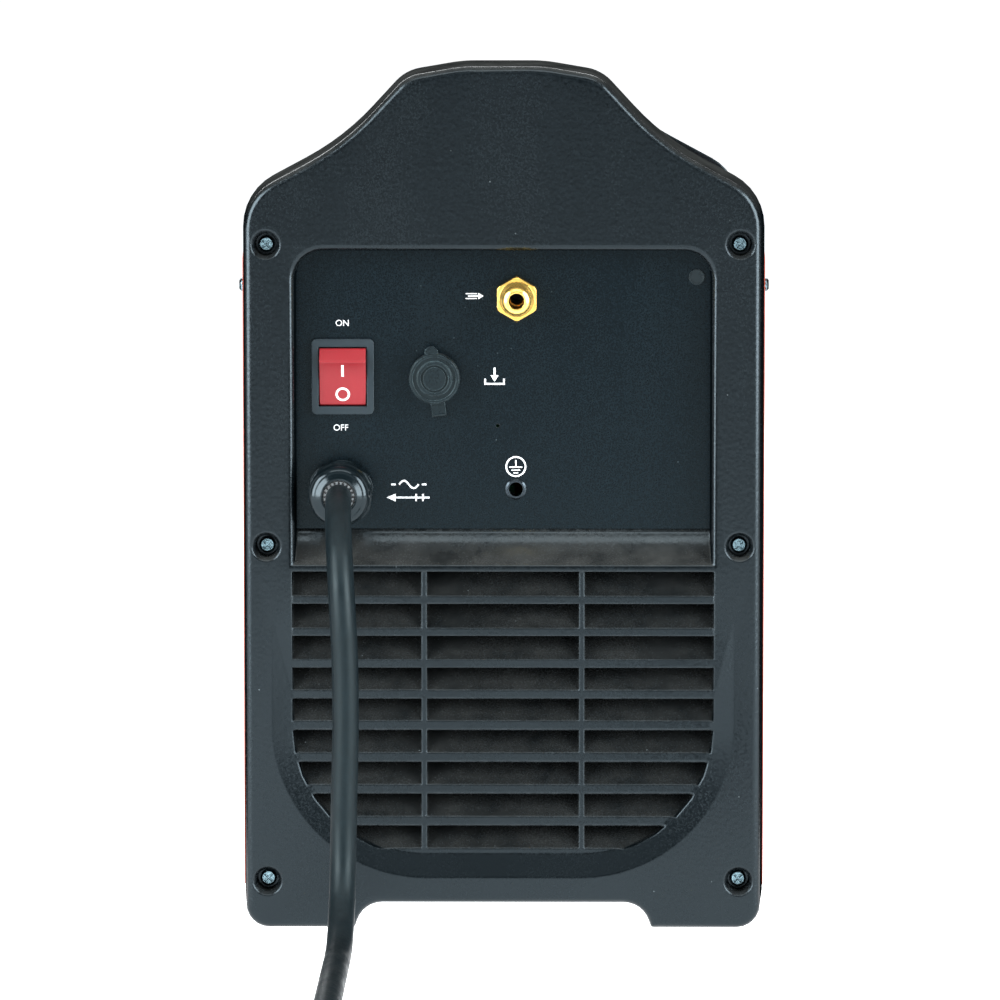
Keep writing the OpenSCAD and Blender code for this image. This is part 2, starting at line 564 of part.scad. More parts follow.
// blanking plug, and the rivet at the foot of the dust cap's strap
module panel_plugs() color(black) {
  difference() { cy(bp_x, bp_z, yp + 0.05, yp + 0.7, 3.2); cy(bp_x, bp_z, yp + 0.35, yp + 1, 2.65); }
  cy(bp_x, bp_z, yp - 4, yp + 0.1, 2.6);
  cy(26.3, 212.1, yp - 3, yp + 0.2, 1.3);
  cy(26.3, 212.1, yp - 3.4, yp - panel_t - 0.05, 2.4);
}

// ----------------------------------------------------------------------- fan
module fan_frame() color(black) difference() {
  union() {
    difference() {
      ext_y(yp - panel_t - fan_t, yp - panel_t - 0.1) translate([0, zfan]) polygon(rounded([
        [-fan_w/2, -fan_w/2, 6], [fan_w/2, -fan_w/2, 6], [fan_w/2, fan_w/2, 6], [-fan_w/2, fan_w/2, 6]], 4));
      cy(0, zfan, yp - fan_t - 3, yp, 57.4);
      // waist between the two flanges
      for (a = [0:90:270]) translate([0, yp - panel_t - fan_t/2, zfan]) rotate([0, a, 0])
        translate([0, 0, 60.6]) cube([84, fan_t - 8, 4], center = true);
    }
    // spider and bearing tube
    cy(0, zfan, yp - panel_t - fan_t, yp - fan_t + 2, 24);
    for (a = [45:90:315]) translate([0, yp - panel_t - fan_t, zfan]) rotate([0, a, 0]) translate([-2.5, 0, 10]) cube([5, 2.9, 49]);
    cy(0, zfan, yp - fan_t, yp - fan_t + 20, 5);
  }
  cy(0, zfan, yp - fan_t + 0.6, yp - fan_t + 21, 2.06);
  for (a = [-52.5, 52.5], b = [-52.5, 52.5]) cy(a, zfan + b, yp - fan_t - 3, yp, 1.95);
}
module fan_stator() color([0.65, 0.35, 0.15]) difference() {
  cy(0, zfan, yp - fan_t + 2.1, yp - fan_t + 18, 15.5);
  cy(0, zfan, yp - fan_t, yp - fan_t + 30, 5.1);
  for (a = [0:60:300]) translate([0, 0, zfan]) rotate([0, a, 0]) block(-1.2, 1.2, yp - fan_t, yp - fan_t + 20, 11, 20);
}
module fan_rotor() color([0.10, 0.10, 0.11]) {
  y0 = yp - fan_t + 4; y1 = yp - panel_t - 4;
  difference() {
    cy(0, zfan, y0, y1, 22);
    cy(0, zfan, y0 - 1, y1 - 4, 18);
  }
  cy(0, zfan, yp - fan_t + 1.6, y1 - 3.9, 2);
  intersection() {
    translate([0, 0, zfan]) for (i = [0:fan_blades-1]) rotate([0, i*360/fan_blades, 0])
      translate([0, (y0 + y1)/2, 38]) rotate([0, 0, 38]) cube([42, 2, 44], center = true);
    difference() { cy(0, zfan, y0 + 1, y1 - 1, 55.6); cy(0, zfan, y0, y1, 21); }
  }
}

// ---------------------------------------------------------- power electronics
module heatsink(x0) translate([x0, 0, 0]) {
  block(0, 8, -24, 132, 15.6, 138);
  for (i = [0:11]) block(7.9, 46, -24, 132, 32 + i*9, 34 + i*9);
}
module heatsinks() color([0.78, 0.79, 0.80]) both() heatsink(14);
// transistors and diodes on the heatsinks, and the bridge rectifier on the board
module power_semiconductors() color([0.12, 0.12, 0.13]) {
  both() for (i = [0:3])
    difference() { block(8.6, 13.95, -12 + i*36, 4 + i*36, 92, 113); block(8, 10, -6 + i*36, -2 + i*36, 106, 110); }
  block(-80, -44, 40, 76, 161.65, 172);
  for (x = [-76, -48], y = [44, 72]) block(x - 0.4, x + 0.4, y - 3, y + 3, 171.9, 182);
}

module power_board() color([0.10, 0.35, 0.16]) difference() {
  block(-94, 14, -66, 122, 160, 161.6);
  for (x = [-90, 10], y = [-62, 118]) translate([x, y, 158]) cylinder(h = 5, r = 1.8);
}
// hexagonal pillars of the three circuit boards
module board_pillars() color(steel) {
  mirror([0, 1, 0]) both() for (z = [180, 270]) {
    translate([72, yp - panel_t - 0.1, z]) rotate([90, 0, 0]) cylinder(h = 20.7, r = 3, $fn = 6);
    cy(72, z, yp - 26, yp - 22.2, 1.7);
  }
  for (x = [-90, 10], y = [-62, 118]) translate([x, y, 151.25]) { cylinder(h = 8.7, r = 3.2, $fn = 6); cylinder(h = 13.5, r = 1.7); }
  for (x = [28, 92], y = [28, 118]) translate([x, y, 151.25]) { cylinder(h = 8.7, r = 3.2, $fn = 6); cylinder(h = 13.5, r = 1.7); }
}
module filter_board() color([0.10, 0.35, 0.16]) difference() {
  block(24, 96, 24, 122, 160, 161.6);
  for (x = [28, 92], y = [28, 118]) translate([x, y, 158]) cylinder(h = 5, r = 1.8);
}
module bus_capacitors() color([0.10, 0.12, 0.30]) for (x = [-68, -28], y = [-40, 0])
  translate([x, y, 161.65]) { cylinder(h = 46, r = 17.5); cylinder(h = 47, r = 14); }
module filter_choke() color([0.62, 0.38, 0.12]) translate([60, 60, 176]) rotate([0, 90, 0]) difference() {
  cylinder(h = 22, r = 14.2, center = true); cylinder(h = 24, r = 6, center = true);
}
// supply transformer, relay and suppression capacitors on the boards
module board_components() color([0.80, 0.72, 0.20]) {
  block(34, 60, 92, 104, 161.65, 181);
  block(66, 88, 96, 106, 161.65, 177);
  block(-34, -4, 44, 72, 161.65, 186);
  block(-30, -8, 84, 104, 161.65, 178);
}

module main_transformer() color([0.20, 0.20, 0.22]) translate([-44, -66, 0]) {
  block(-32, 32, -14, 14, 24, 88);
  difference() { block(-20, 20, -27, 27, 36, 76); block(-21, 21, -13.9, 13.9, 34, 78); }
  block(-30, 30, -26, 26, 15.6, 24.1);
}
module output_choke() color([0.70, 0.42, 0.14]) translate([44, -66, 64]) rotate([90, 0, 0]) {
  difference() { cylinder(h = 34, r = 32, center = true); cylinder(h = 36, r = 13, center = true); }
  translate([-26, -48.4, -20]) cube([52, 17, 40]);
}
// high-frequency starting coil under the divider
module pilot_coil() color([0.65, 0.16, 0.10]) {
  translate([80, -66, 112]) cylinder(h = 28, r = 11);
  translate([80, -66, 139.9]) cylinder(h = 4.2, r = 13.5);
  block(64, 96, -80, -52, 144, 149.95);
}

// -------------------------------------------------------------- front fittings
module torch_flange() color(black) mirror([0, 1, 0]) difference() {
  union() { cy(tc_x, so_z, yp + 0.05, yp + 5, 29); cy(tc_x, so_z, yp + 4.9, yp + 16, 22, 20.5); cy(tc_x, so_z, yp - 6, yp + 0.1, 17); }
  cy(tc_x, so_z, yp - 7, yp + 17, 16.05);
  for (a = [45:90:315]) cy(tc_x + 25*cos(a), so_z + 25*sin(a), yp + 3.4, yp + 6, 2.2);
}
module torch_connector() color(brass) mirror([0, 1, 0]) difference() {
  union() { cy(tc_x, so_z, yp - 20, yp + 26.5, 16); cy(tc_x, so_z, yp - 34, yp - 19.9, 8); cy(tc_x, so_z, yp - 44, yp - 33.9, 4.5); }
  cy(tc_x, so_z, yp - 4, yp + 27, 5.5);
  cy(tc_x, so_z, yp - 45, yp - 3, 2.5);
  for (a = [30, 150, 210, 330]) cy(tc_x + 10.6*cos(a), so_z + 10.6*sin(a), yp + 10, yp + 27, 2);
}
module work_socket() color(black) mirror([0, 1, 0]) difference() {
  union() { cy(ws_x, so_z, yp + 0.05, yp + 5, 21); cy(ws_x, so_z, yp + 4.9, yp + 13, 18, 17); cy(ws_x, so_z, yp - 8, yp + 0.1, 15); }
  cy(ws_x, so_z, yp - 9, yp + 14, 12.05);
}
module work_insert() color(brass) mirror([0, 1, 0]) difference() {
  union() { cy(ws_x, so_z, yp - 22, yp + 11, 12); cy(ws_x, so_z, yp - 38, yp - 21.9, 6); }
  cy(ws_x, so_z, yp - 17, yp + 12, 6.55);
  block(ws_x - 2, ws_x + 2, yp - 6, yp + 12, so_z + 5, so_z + 9);
}

module control_overlay() color([0.16, 0.17, 0.19]) mirror([0, 1, 0]) difference() {
  ext_y(yp + 0.05, yp + 0.6) translate([0, 0]) rr(80, 168, 274, 5, 5);
  cy(kn_x, kn_z, yp - 3, yp + 1, 4.6);
  for (x = bt_x) cy(x, bt_z, yp - 3, yp + 1, button_d/2 + 0.4);
  block(-26, 26, yp - 3, yp + 1, 237, 259);
  for (i = [0:3]) cy(-24 + 16*i, 226, yp - 3, yp + 1, 1.8);
}
module display_window() color([0.20, 0.02, 0.02]) mirror([0, 1, 0]) {
  block(-25.8, 25.8, yp - 1, yp + 1.2, 237.2, 258.8);
  block(-26.8, 26.8, yp - 1.4, yp - 0.2, 236.2, 259.8);
}
module indicator_leds() color([0.15, 0.75, 0.25]) mirror([0, 1, 0]) for (i = [0:3]) {
  cy(-24 + 16*i, 226, yp - 6, yp + 0.9, 1.6);
  cy(-24 + 16*i, 226, yp + 0.8, yp + 1.5, 1.6, 1);
  cy(-24 + 16*i, 226, yp - 7, yp - 5.9, 2);
}
module current_knob() color(black) mirror([0, 1, 0]) difference() {
  union() {
    cy(kn_x, kn_z, yp + 1.2, yp + 3.4, knob_d/2 + 1.4);
    cy(kn_x, kn_z, yp + 3.3, yp + 15.6, knob_d/2, knob_d/2 - 1.2);
    cy(kn_x, kn_z, yp + 15.5, yp + 16.4, knob_d/2 - 1.2, knob_d/2 - 2.4);
    cy(kn_x, kn_z, yp - 12, yp + 2, 3);
  }
  // grip flutes and the pointer groove
  for (a = [20:20:340]) cy(kn_x + (knob_d/2 + 0.5)*sin(a), kn_z + (knob_d/2 + 0.5)*cos(a), yp + 4.4, yp + 17, 1.3);
  block(kn_x - 0.8, kn_x + 0.8, yp + 15.9, yp + 17, kn_z + 4, kn_z + knob_d/2);
}
module potentiometer() color([0.55, 0.56, 0.58]) mirror([0, 1, 0]) difference() {
  union() { cy(kn_x, kn_z, yp - 14, yp - panel_t - 0.1, 12); cy(kn_x, kn_z, yp - 1.6, yp + 0.9, 4.4); block(kn_x - 7, kn_x + 7, yp - 12, yp - 9, kn_z - 17, kn_z - 10); }
  cy(kn_x, kn_z, yp - 12.6, yp + 2, 3.06);
}
module push_button(x) mirror([0, 1, 0]) {
  cy(x, bt_z, yp - 1.9, yp + 3.2, button_d/2);
  cy(x, bt_z, yp + 3.1, yp + 4, button_d/2, button_d/2 - 0.9);
  cy(x, bt_z, yp - 3, yp - 1.85, button_d/2 + 1.6);
  cy(x, bt_z, yp - 13.8, yp - 2.9, 2);
}
module mode_button() color([0.25, 0.27, 0.30]) push_button(bt_x[0]);
module air_test_button() color([0.10, 0.30, 0.55]) push_button(bt_x[1]);
module control_board() color([0.10, 0.35, 0.16]) mirror([0, 1, 0]) difference() {
  union() {
    block(-76, 76, yp - 24, yp - 22.4, 176, 274);
    for (x = bt_x) { block(x - 4, x + 4, yp - 22.5, yp - 17.4, bt_z - 4, bt_z + 4); cy(x, bt_z, yp - 17.5, yp - 16, 1.8); }
    block(-24, 24, yp - 22.5, yp - 4, 239, 257);
  }
  both() for (z = [180, 270]) cy(72, z, yp - 25, yp - 22, 1.8);
}
// hose from the valve along the case and down to the torch connector
hose = [[gas_x, 143.9, 258.5, 0], [gas_x, 118, 258.5, 22], [82, 70, 232, 36], [84, -112, 214, 40], [80, -124, 96, 18], [tc_x, -112, so_z, 12], [tc_x, -141.9, so_z, 0]];
module air_hose() color([0.15, 0.30, 0.60]) sweep_tube(hose, 4, 10, 5, [0, 0, 1]);

// ----------------------------------------------------------------- mains lead
lead_r = lead_d / 2;
lead_y = yp + 26.05;
floor_z = lead_r + 0.3;
coil_r = coil_d / 2;
coil_x = 64 - coil_r - 1.37 * lead_d;  // the outermost turn runs on from the lead
coil_y = 580;
// out of the gland, down in front of the grille, over the floor and up to the coil
lead = concat([[gl_x, lead_y, gl_z, 0], [gl_x, 264, gl_z, 43], [62, 262, 122, 0], [62, 262, 98, 0], [62.6, 262, 72, 0],
  [64, 262, floor_z, 43]], [for (y = [322:22:542]) [64, y, floor_z, 0]], [[64, coil_y - 22, floor_z, 0]]);
module mains_lead() color([0.12, 0.13, 0.14]) sweep_tube(lead, lead_r, 12, 14, [1, 0, 0]);
// outer shape of the coiled lead: nearly three turns side by side, and one and a third on top
module mains_coil() color([0.12, 0.13, 0.14]) translate([coil_x, coil_y, 0.3]) rotate_extrude() polygon([
  for (p = [[-1.7, 0], [1.7, 0], [1.87, 0.25], [1.87, 0.75], [1.3, 1.2], [1.05, 1.35], [1.02, 1.75], [0.8, 2],
            [-1.3, 2], [-1.5, 1.75], [-1.6, 1.2], [-1.87, 0.75], [-1.87, 0.25]])
    [coil_r + p[0] * lead_d, p[1] * lead_d]]);

// two-pin earthed plug at the end of the coil, lying on the floor
plug_x = coil_x - 34; plug_y = coil_y + coil_r + lead_d/2; plug_z = 19.5;
module mains_plug() color([0.08, 0.08, 0.09]) translate([plug_x, plug_y, plug_z]) rotate([0, -90, 0]) {
  difference() {
    rotate_extrude() polygon([[0, 0], [6.4, 0], [7.2, 14], [8.6, 34], [13, 40], [18.2, 44.5], [19.2, 49], [19.2, 74], [18.6, 76], [0, 76]]);
    for (a = [0, 180]) rotate(a) translate([17.4, -2.5, 60]) cube([4, 5, 18]);
    // grip ribs of the strain relief
    for (z = [6:6:30]) translate([0, 0, z]) difference() { cylinder(h = 2, r = 12); translate([0, 0, -1]) cylinder(h = 4, r = 6.3); }
  }
  for (a = [-9.5, 9.5]) translate([0, a, 75.9]) { cylinder(h = 17.8, r = 2.4); translate([0, 0, 17.7]) cylinder(h = 1.3, r1 = 2.4, r2 = 1.4); }
}

rear_bezel();
front_bezel();
rear_panel();
front_panel();
case_cover();
base_plate();
divider_plate();
handle_bar();
handle_grip();
rear_bezel_screws();
front_bezel_screws();
case_screws();
switch_body();
switch_rocker();
switch_terminals();
gland_body();
gland_locknut();
gland_nut();
gland_seal();
air_inlet();
valve_block();
valve_coil();
valve_plunger();
air_hose();
remote_socket();
remote_insert();
panel_nuts();
dust_cap();
panel_plugs();
earth_terminal();
fan_frame();
fan_stator();
fan_rotor();
heatsinks();
power_semiconductors();
power_board();
board_pillars();
bus_capacitors();
filter_board();
filter_choke();
board_components();
main_transformer();
output_choke();
pilot_coil();
torch_flange();
torch_connector();
work_socket();
work_insert();
control_overlay();
display_window();
indicator_leds();
current_knob();
potentiometer();
mode_button();
air_test_button();
control_board();
mains_lead();
mains_coil();
mains_plug();
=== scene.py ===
import bpy
import bmesh
import math
from mathutils import Matrix, Vector


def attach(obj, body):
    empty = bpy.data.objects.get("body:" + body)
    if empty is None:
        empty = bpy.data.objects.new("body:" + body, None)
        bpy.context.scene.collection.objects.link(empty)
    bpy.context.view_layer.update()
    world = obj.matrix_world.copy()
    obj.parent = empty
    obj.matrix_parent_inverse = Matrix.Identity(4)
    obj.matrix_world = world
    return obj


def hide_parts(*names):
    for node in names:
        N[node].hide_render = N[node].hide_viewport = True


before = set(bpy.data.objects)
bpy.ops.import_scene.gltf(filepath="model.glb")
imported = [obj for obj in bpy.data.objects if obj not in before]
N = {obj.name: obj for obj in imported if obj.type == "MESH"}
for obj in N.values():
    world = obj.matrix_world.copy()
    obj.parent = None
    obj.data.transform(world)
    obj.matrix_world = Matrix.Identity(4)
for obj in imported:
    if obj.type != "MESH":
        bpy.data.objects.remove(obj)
bpy.context.view_layer.update()
scene = bpy.context.scene

# places that repeat the CAD source, in millimetres
YF, YP = 200.0, 186.0            # rear bezel's face, rear panel's face (the front is mirrored)
GLAND = (66.7, 178.8)
SWITCH = (65.8, 226.4)
KNOB = (-45.0, 202.0)
BUTTONS = ((22.0, 202.0), (52.0, 202.0))
LEAD_D = 10.6
FLOOR_Z = 5.6
COIL_R = 60.5
COIL = (64 - COIL_R - 1.37 * LEAD_D, 580.0)
THROW = 11.0                     # the rocker's tilt at rest, degrees


# ------------------------------------------------------------------ camera
FAR = 2.3
eye = Vector((-0.01941, 0.200 + FAR, 0.3748))
aim = Vector((0.00119, 0.200, 0.1767))
cam = bpy.data.cameras.new("camera")
cam.sensor_width = 36
cam.lens = 36 * (aim - eye).length / 0.4087
cam.clip_start, cam.clip_end = 0.05, 200
camera = bpy.data.objects.new("camera", cam)
scene.collection.objects.link(camera)
camera.location = eye
camera.rotation_mode = "QUATERNION"
camera.rotation_quaternion = (aim - eye).to_track_quat("-Z", "Y")
scene.camera = camera


# --------------------------------------------------------------- materials
def link(nt, a, b):
    nt.links.new(a, b)


def surface(name, base, rough, metallic=0.0, spec=0.5, grain=None, fine=None, mottle=(28, 0.10),
            rough_var=0.07, edge=0.0004, wear_and_highlight=None, dust=None, coat=None, sheen=None, brushed=None,
            scratches=0.0, emission=None, smear=None, tint=None, specks=None, salt=None, band=None, rounded=4, dull_sides=False):
    """A procedural finish. Sizes are in metres: grain = (cell size, height), fine = (size, height),
    mottle = (patches per metre, share), edge = radius of the softened edges, wear = (colour, share),
    dust = (colour, share), brushed = (axis, height)."""
    m = bpy.data.materials.new(name)
    m.use_nodes = True
    nt = m.node_tree
    nt.nodes.clear()
    out = nt.nodes.new("ShaderNodeOutputMaterial")
    b = nt.nodes.new("ShaderNodeBsdfPrincipled")
    link(nt, b.outputs["BSDF"], out.inputs["Surface"])
    b.inputs["Metallic"].default_value = metallic
    b.inputs["Specular IOR Level"].default_value = spec
    if tint:
        b.inputs["Specular Tint"].default_value = (*tint, 1.0)
    tc = nt.nodes.new("ShaderNodeTexCoord")
    where = tc.outputs["Object"]

    def noise(size, detail=2.0, rough_=0.55, vec=None):
        n = nt.nodes.new("ShaderNodeTexNoise")
        n.inputs["Scale"].default_value = size
        n.inputs["Detail"].default_value = detail
        n.inputs["Roughness"].default_value = rough_
        link(nt, vec or where, n.inputs["Vector"])
        return n.outputs["Fac"]

    def ramp(x, lo, hi, a=0.3, b_=0.7):
        r = nt.nodes.new("ShaderNodeMapRange")
        r.clamp = True
        for k, v in (("From Min", a), ("From Max", b_), ("To Min", lo), ("To Max", hi)):
            r.inputs[k].default_value = v
        link(nt, x, r.inputs["Value"])
        return r.outputs["Result"]

    def blend(fac, a, b_, kind="MIX"):
        x = nt.nodes.new("ShaderNodeMix")
        x.data_type = "RGBA"
        x.blend_type = kind
        for s, v in ((x.inputs[0], fac), (x.inputs[6], a), (x.inputs[7], b_)):
            if isinstance(v, bpy.types.NodeSocket):
                link(nt, v, s)
            else:
                s.default_value = v if isinstance(v, float) else (*v[:3], 1.0)
        return x.outputs[2]

    def maths(op, a, b_=None):
        x = nt.nodes.new("ShaderNodeMath")
        x.operation = op
        for s, v in zip(x.inputs, (a, b_)):
            if v is None:
                continue
            if isinstance(v, bpy.types.NodeSocket):
                link(nt, v, s)
            else:
                s.default_value = v
        return x.outputs[0]

    # colour: two sizes of patches over the base
    big = noise(mottle[0], 4, 0.6)
    lo = [c * (1 - mottle[1]) for c in base]
    hi = [min(1.0, c * (1 + mottle[1])) for c in base]
    colour = blend(ramp(big, 0.0, 1.0), lo, hi)
    small = noise(mottle[0] * 14, 3, 0.6)
    colour = blend(ramp(small, 0.0, 0.45), colour, [c * (1 - 0.6 * mottle[1]) for c in base])
    r = maths("ADD", ramp(noise(mottle[0] * 2.3, 5, 0.65), rough - rough_var, rough + rough_var), 0.0)
    if salt:
        # grain too fine to see as relief: light and dark dots, glossy and dull ones
        dots = noise(1.0 / salt[0], 2, 0.7)
        colour = blend(ramp(dots, 0.0, 1.0, 0.36, 0.64), [c * (1 - salt[1]) for c in base], colour, "MIX")
        r = maths("ADD", r, ramp(dots, -salt[2], salt[2], 0.36, 0.64))

    bevel = None
    if edge:
        bevel = nt.nodes.new("ShaderNodeBevel")
        bevel.samples = rounded
        bevel.inputs["Radius"].default_value = edge
    # painted highlight along the edges, partly edge wear: a lighter colour where the bevel normal turns away from the
    # face normal
    if wear_and_highlight and bevel:
        geo = nt.nodes.new("ShaderNodeNewGeometry")
        dot = nt.nodes.new("ShaderNodeVectorMath")
        dot.operation = "DOT_PRODUCT"
        link(nt, bevel.outputs["Normal"], dot.inputs[0])
        link(nt, geo.outputs["Normal"], dot.inputs[1])
        rim = ramp(dot.outputs["Value"], 1.0, 0.0, 0.80, 0.99)
        broken = maths("MULTIPLY", rim, ramp(noise(220, 4, 0.7), 0.1, 1.0, 0.40, 0.62))
        colour = blend(maths("MULTIPLY", broken, wear_and_highlight[1]), colour, wear_and_highlight[0])
    if dust:
        geo2 = nt.nodes.new("ShaderNodeNewGeometry")
        sep = nt.nodes.new("ShaderNodeSeparateXYZ")
        link(nt, geo2.outputs["Normal"], sep.inputs[0])
        up = ramp(sep.outputs["Z"], 0.0, 1.0, 0.25, 1.0)
        lay = maths("MULTIPLY", up, ramp(noise(60, 5, 0.7), 0.25, 1.0))
        lay = maths("MULTIPLY", lay, dust[1])
        if band:
            # more of the pale dust colour on top of the bezels and in the scoop under the panel: partly dust, partly
            # painted light from above on these upward faces
            h = nt.nodes.new("ShaderNodeSeparateXYZ")
            link(nt, where, h.inputs[0])
            tops_dust_and_light = maths("ADD", ramp(h.outputs["Z"], 0.0, 1.0, 0.27, 0.30),
                         maths("MULTIPLY", ramp(h.outputs["Z"], 0.0, 1.0, 0.1470, 0.1480), ramp(h.outputs["Z"], 1.0, 0.0, 0.1655, 0.1665)))
            lay = maths("MULTIPLY", lay, maths("ADD", 1.0, maths("MULTIPLY", tops_dust_and_light, 1.1)))
        colour = blend(lay, colour, dust[0])
        r = maths("ADD", r, maths("MULTIPLY", lay, 0.25))
    if specks:
        # a few single grains of pale dust
        v = nt.nodes.new("ShaderNodeTexVoronoi")
        v.feature = "F1"
        v.inputs["Scale"].default_value = 1.0 / specks[0]
        link(nt, where, v.inputs["Vector"])
        colour = blend(ramp(v.outputs["Distance"], 1.0, 0.0, specks[1] * 0.5, specks[1]), colour, specks[2])
    if smear:
        # faint handling marks that only change the gloss
        streak = nt.nodes.new("ShaderNodeMapping")
        streak.inputs["Scale"].default_value = (1.0, 1.0, 0.25)
        link(nt, where, streak.inputs["Vector"])
        s = noise(34, 3, 0.5, streak.outputs["Vector"])
        r = maths("ADD", r, ramp(s, -smear, smear, 0.42, 0.6))
    gloss = spec
    if band:
        # painted shade on the dished band round the lower end of the grille: a darker colour and less gloss there
        p = nt.nodes.new("ShaderNodeSeparateXYZ")
        link(nt, where, p.inputs[0])
        qx = maths("MAXIMUM", maths("SUBTRACT", maths("ABSOLUTE", p.outputs["X"]), 0.0316), 0.0)
        qz = maths("MAXIMUM", maths("SUBTRACT", 0.0839, p.outputs["Z"]), 0.0)
        rho = maths("SQRT", maths("ADD", maths("MULTIPLY", qx, qx), maths("MULTIPLY", qz, qz)))
        dish_shade_mask = maths("MULTIPLY", ramp(rho, 0.0, 1.0, 0.0540, 0.0543), ramp(rho, 1.0, 0.0, 0.0632, 0.0635))
        dish_shade_mask = maths("MULTIPLY", dish_shade_mask, maths("MULTIPLY", ramp(p.outputs["Z"], 1.0, 0.0, 0.088, 0.126),
                                                 ramp(p.outputs["Y"], 0.0, 1.0, 0.190, 0.196)))
        gloss = ramp(dish_shade_mask, spec, spec * band, 0.0, 1.0)
        colour = blend(dish_shade_mask, colour, [c * band for c in base])
    if dull_sides:
        # the sides and the underside lose their gloss where they are seen edge on
        g3 = nt.nodes.new("ShaderNodeNewGeometry")
        s3 = nt.nodes.new("ShaderNodeSeparateXYZ")
        link(nt, g3.outputs["Normal"], s3.inputs[0])
        lw = nt.nodes.new("ShaderNodeLayerWeight")
        turned = maths("MAXIMUM", maths("ABSOLUTE", s3.outputs["X"]), maths("MULTIPLY", s3.outputs["Z"], -1.0))
        aside = ramp(turned, 0.0, 1.0, 0.84, 0.95)
        # so does the top of the hump and of the shoulders
        high = nt.nodes.new("ShaderNodeSeparateXYZ")
        link(nt, where, high.inputs[0])
        upward = maths("MULTIPLY", ramp(maths("ABSOLUTE", s3.outputs["Y"]), 1.0, 0.0, 0.31, 0.54),
                       maths("MULTIPLY", ramp(s3.outputs["Z"], 0.0, 1.0, 0.05, 0.20), ramp(high.outputs["Z"], 0.0, 1.0, 0.268, 0.276)))
        aside = maths("MAXIMUM", aside, upward)
        lost = maths("MULTIPLY", aside, ramp(lw.outputs["Facing"], 0.0, 1.0, 0.55, 0.80))
        gloss = maths("MULTIPLY", gloss, maths("SUBTRACT", 1.0, lost))
    if isinstance(gloss, bpy.types.NodeSocket):
        link(nt, gloss, b.inputs["Specular IOR Level"])
    bumps = []
    if grain:
        v = nt.nodes.new("ShaderNodeTexVoronoi")
        v.feature = "SMOOTH_F1"
        v.inputs["Scale"].default_value = 1.0 / grain[0]
        v.inputs["Smoothness"].default_value = 0.6
        link(nt, where, v.inputs["Vector"])
        bumps.append((v.outputs["Distance"], grain[1], 0.8))
    if fine:
        bumps.append((noise(1.0 / fine[0], 3, 0.6), fine[1], 0.9))
    if brushed:
        mp = nt.nodes.new("ShaderNodeMapping")
        sc = [900.0, 900.0, 900.0]
        sc["xyz".index(brushed[0])] = 12.0
        mp.inputs["Scale"].default_value = sc
        link(nt, where, mp.inputs["Vector"])
        bumps.append((noise(1.0, 3, 0.6, mp.outputs["Vector"]), brushed[1], 0.7))
    if scratches:
        mp = nt.nodes.new("ShaderNodeMapping")
        mp.inputs["Rotation"].default_value = (0.3, 0.9, 0.5)
        mp.inputs["Scale"].default_value = (40.0, 900.0, 700.0)
        link(nt, where, mp.inputs["Vector"])
        bumps.append((ramp(noise(1.0, 2, 0.5, mp.outputs["Vector"]), 0.0, 1.0, 0.66, 0.72), scratches, 0.6))
    normal = bevel.outputs["Normal"] if bevel else None
    for h, d, strength in bumps:
        bp = nt.nodes.new("ShaderNodeBump")
        bp.inputs["Strength"].default_value = strength
        bp.inputs["Distance"].default_value = d
        link(nt, h, bp.inputs["Height"])
        if normal is not None:
            link(nt, normal, bp.inputs["Normal"])
        normal = bp.outputs["Normal"]
    if normal is not None:
        link(nt, normal, b.inputs["Normal"])
    link(nt, colour, b.inputs["Base Color"])
    link(nt, r, b.inputs["Roughness"])
    if coat:
        b.inputs["Coat Weight"].default_value = coat[0]
        b.inputs["Coat Roughness"].default_value = coat[1]
    if sheen:
        b.inputs["Sheen Weight"].default_value = sheen
    if emission:
        b.inputs["Emission Color"].default_value = (*emission[0], 1)
        b.inputs["Emission Strength"].default_value = emission[1]
    return m


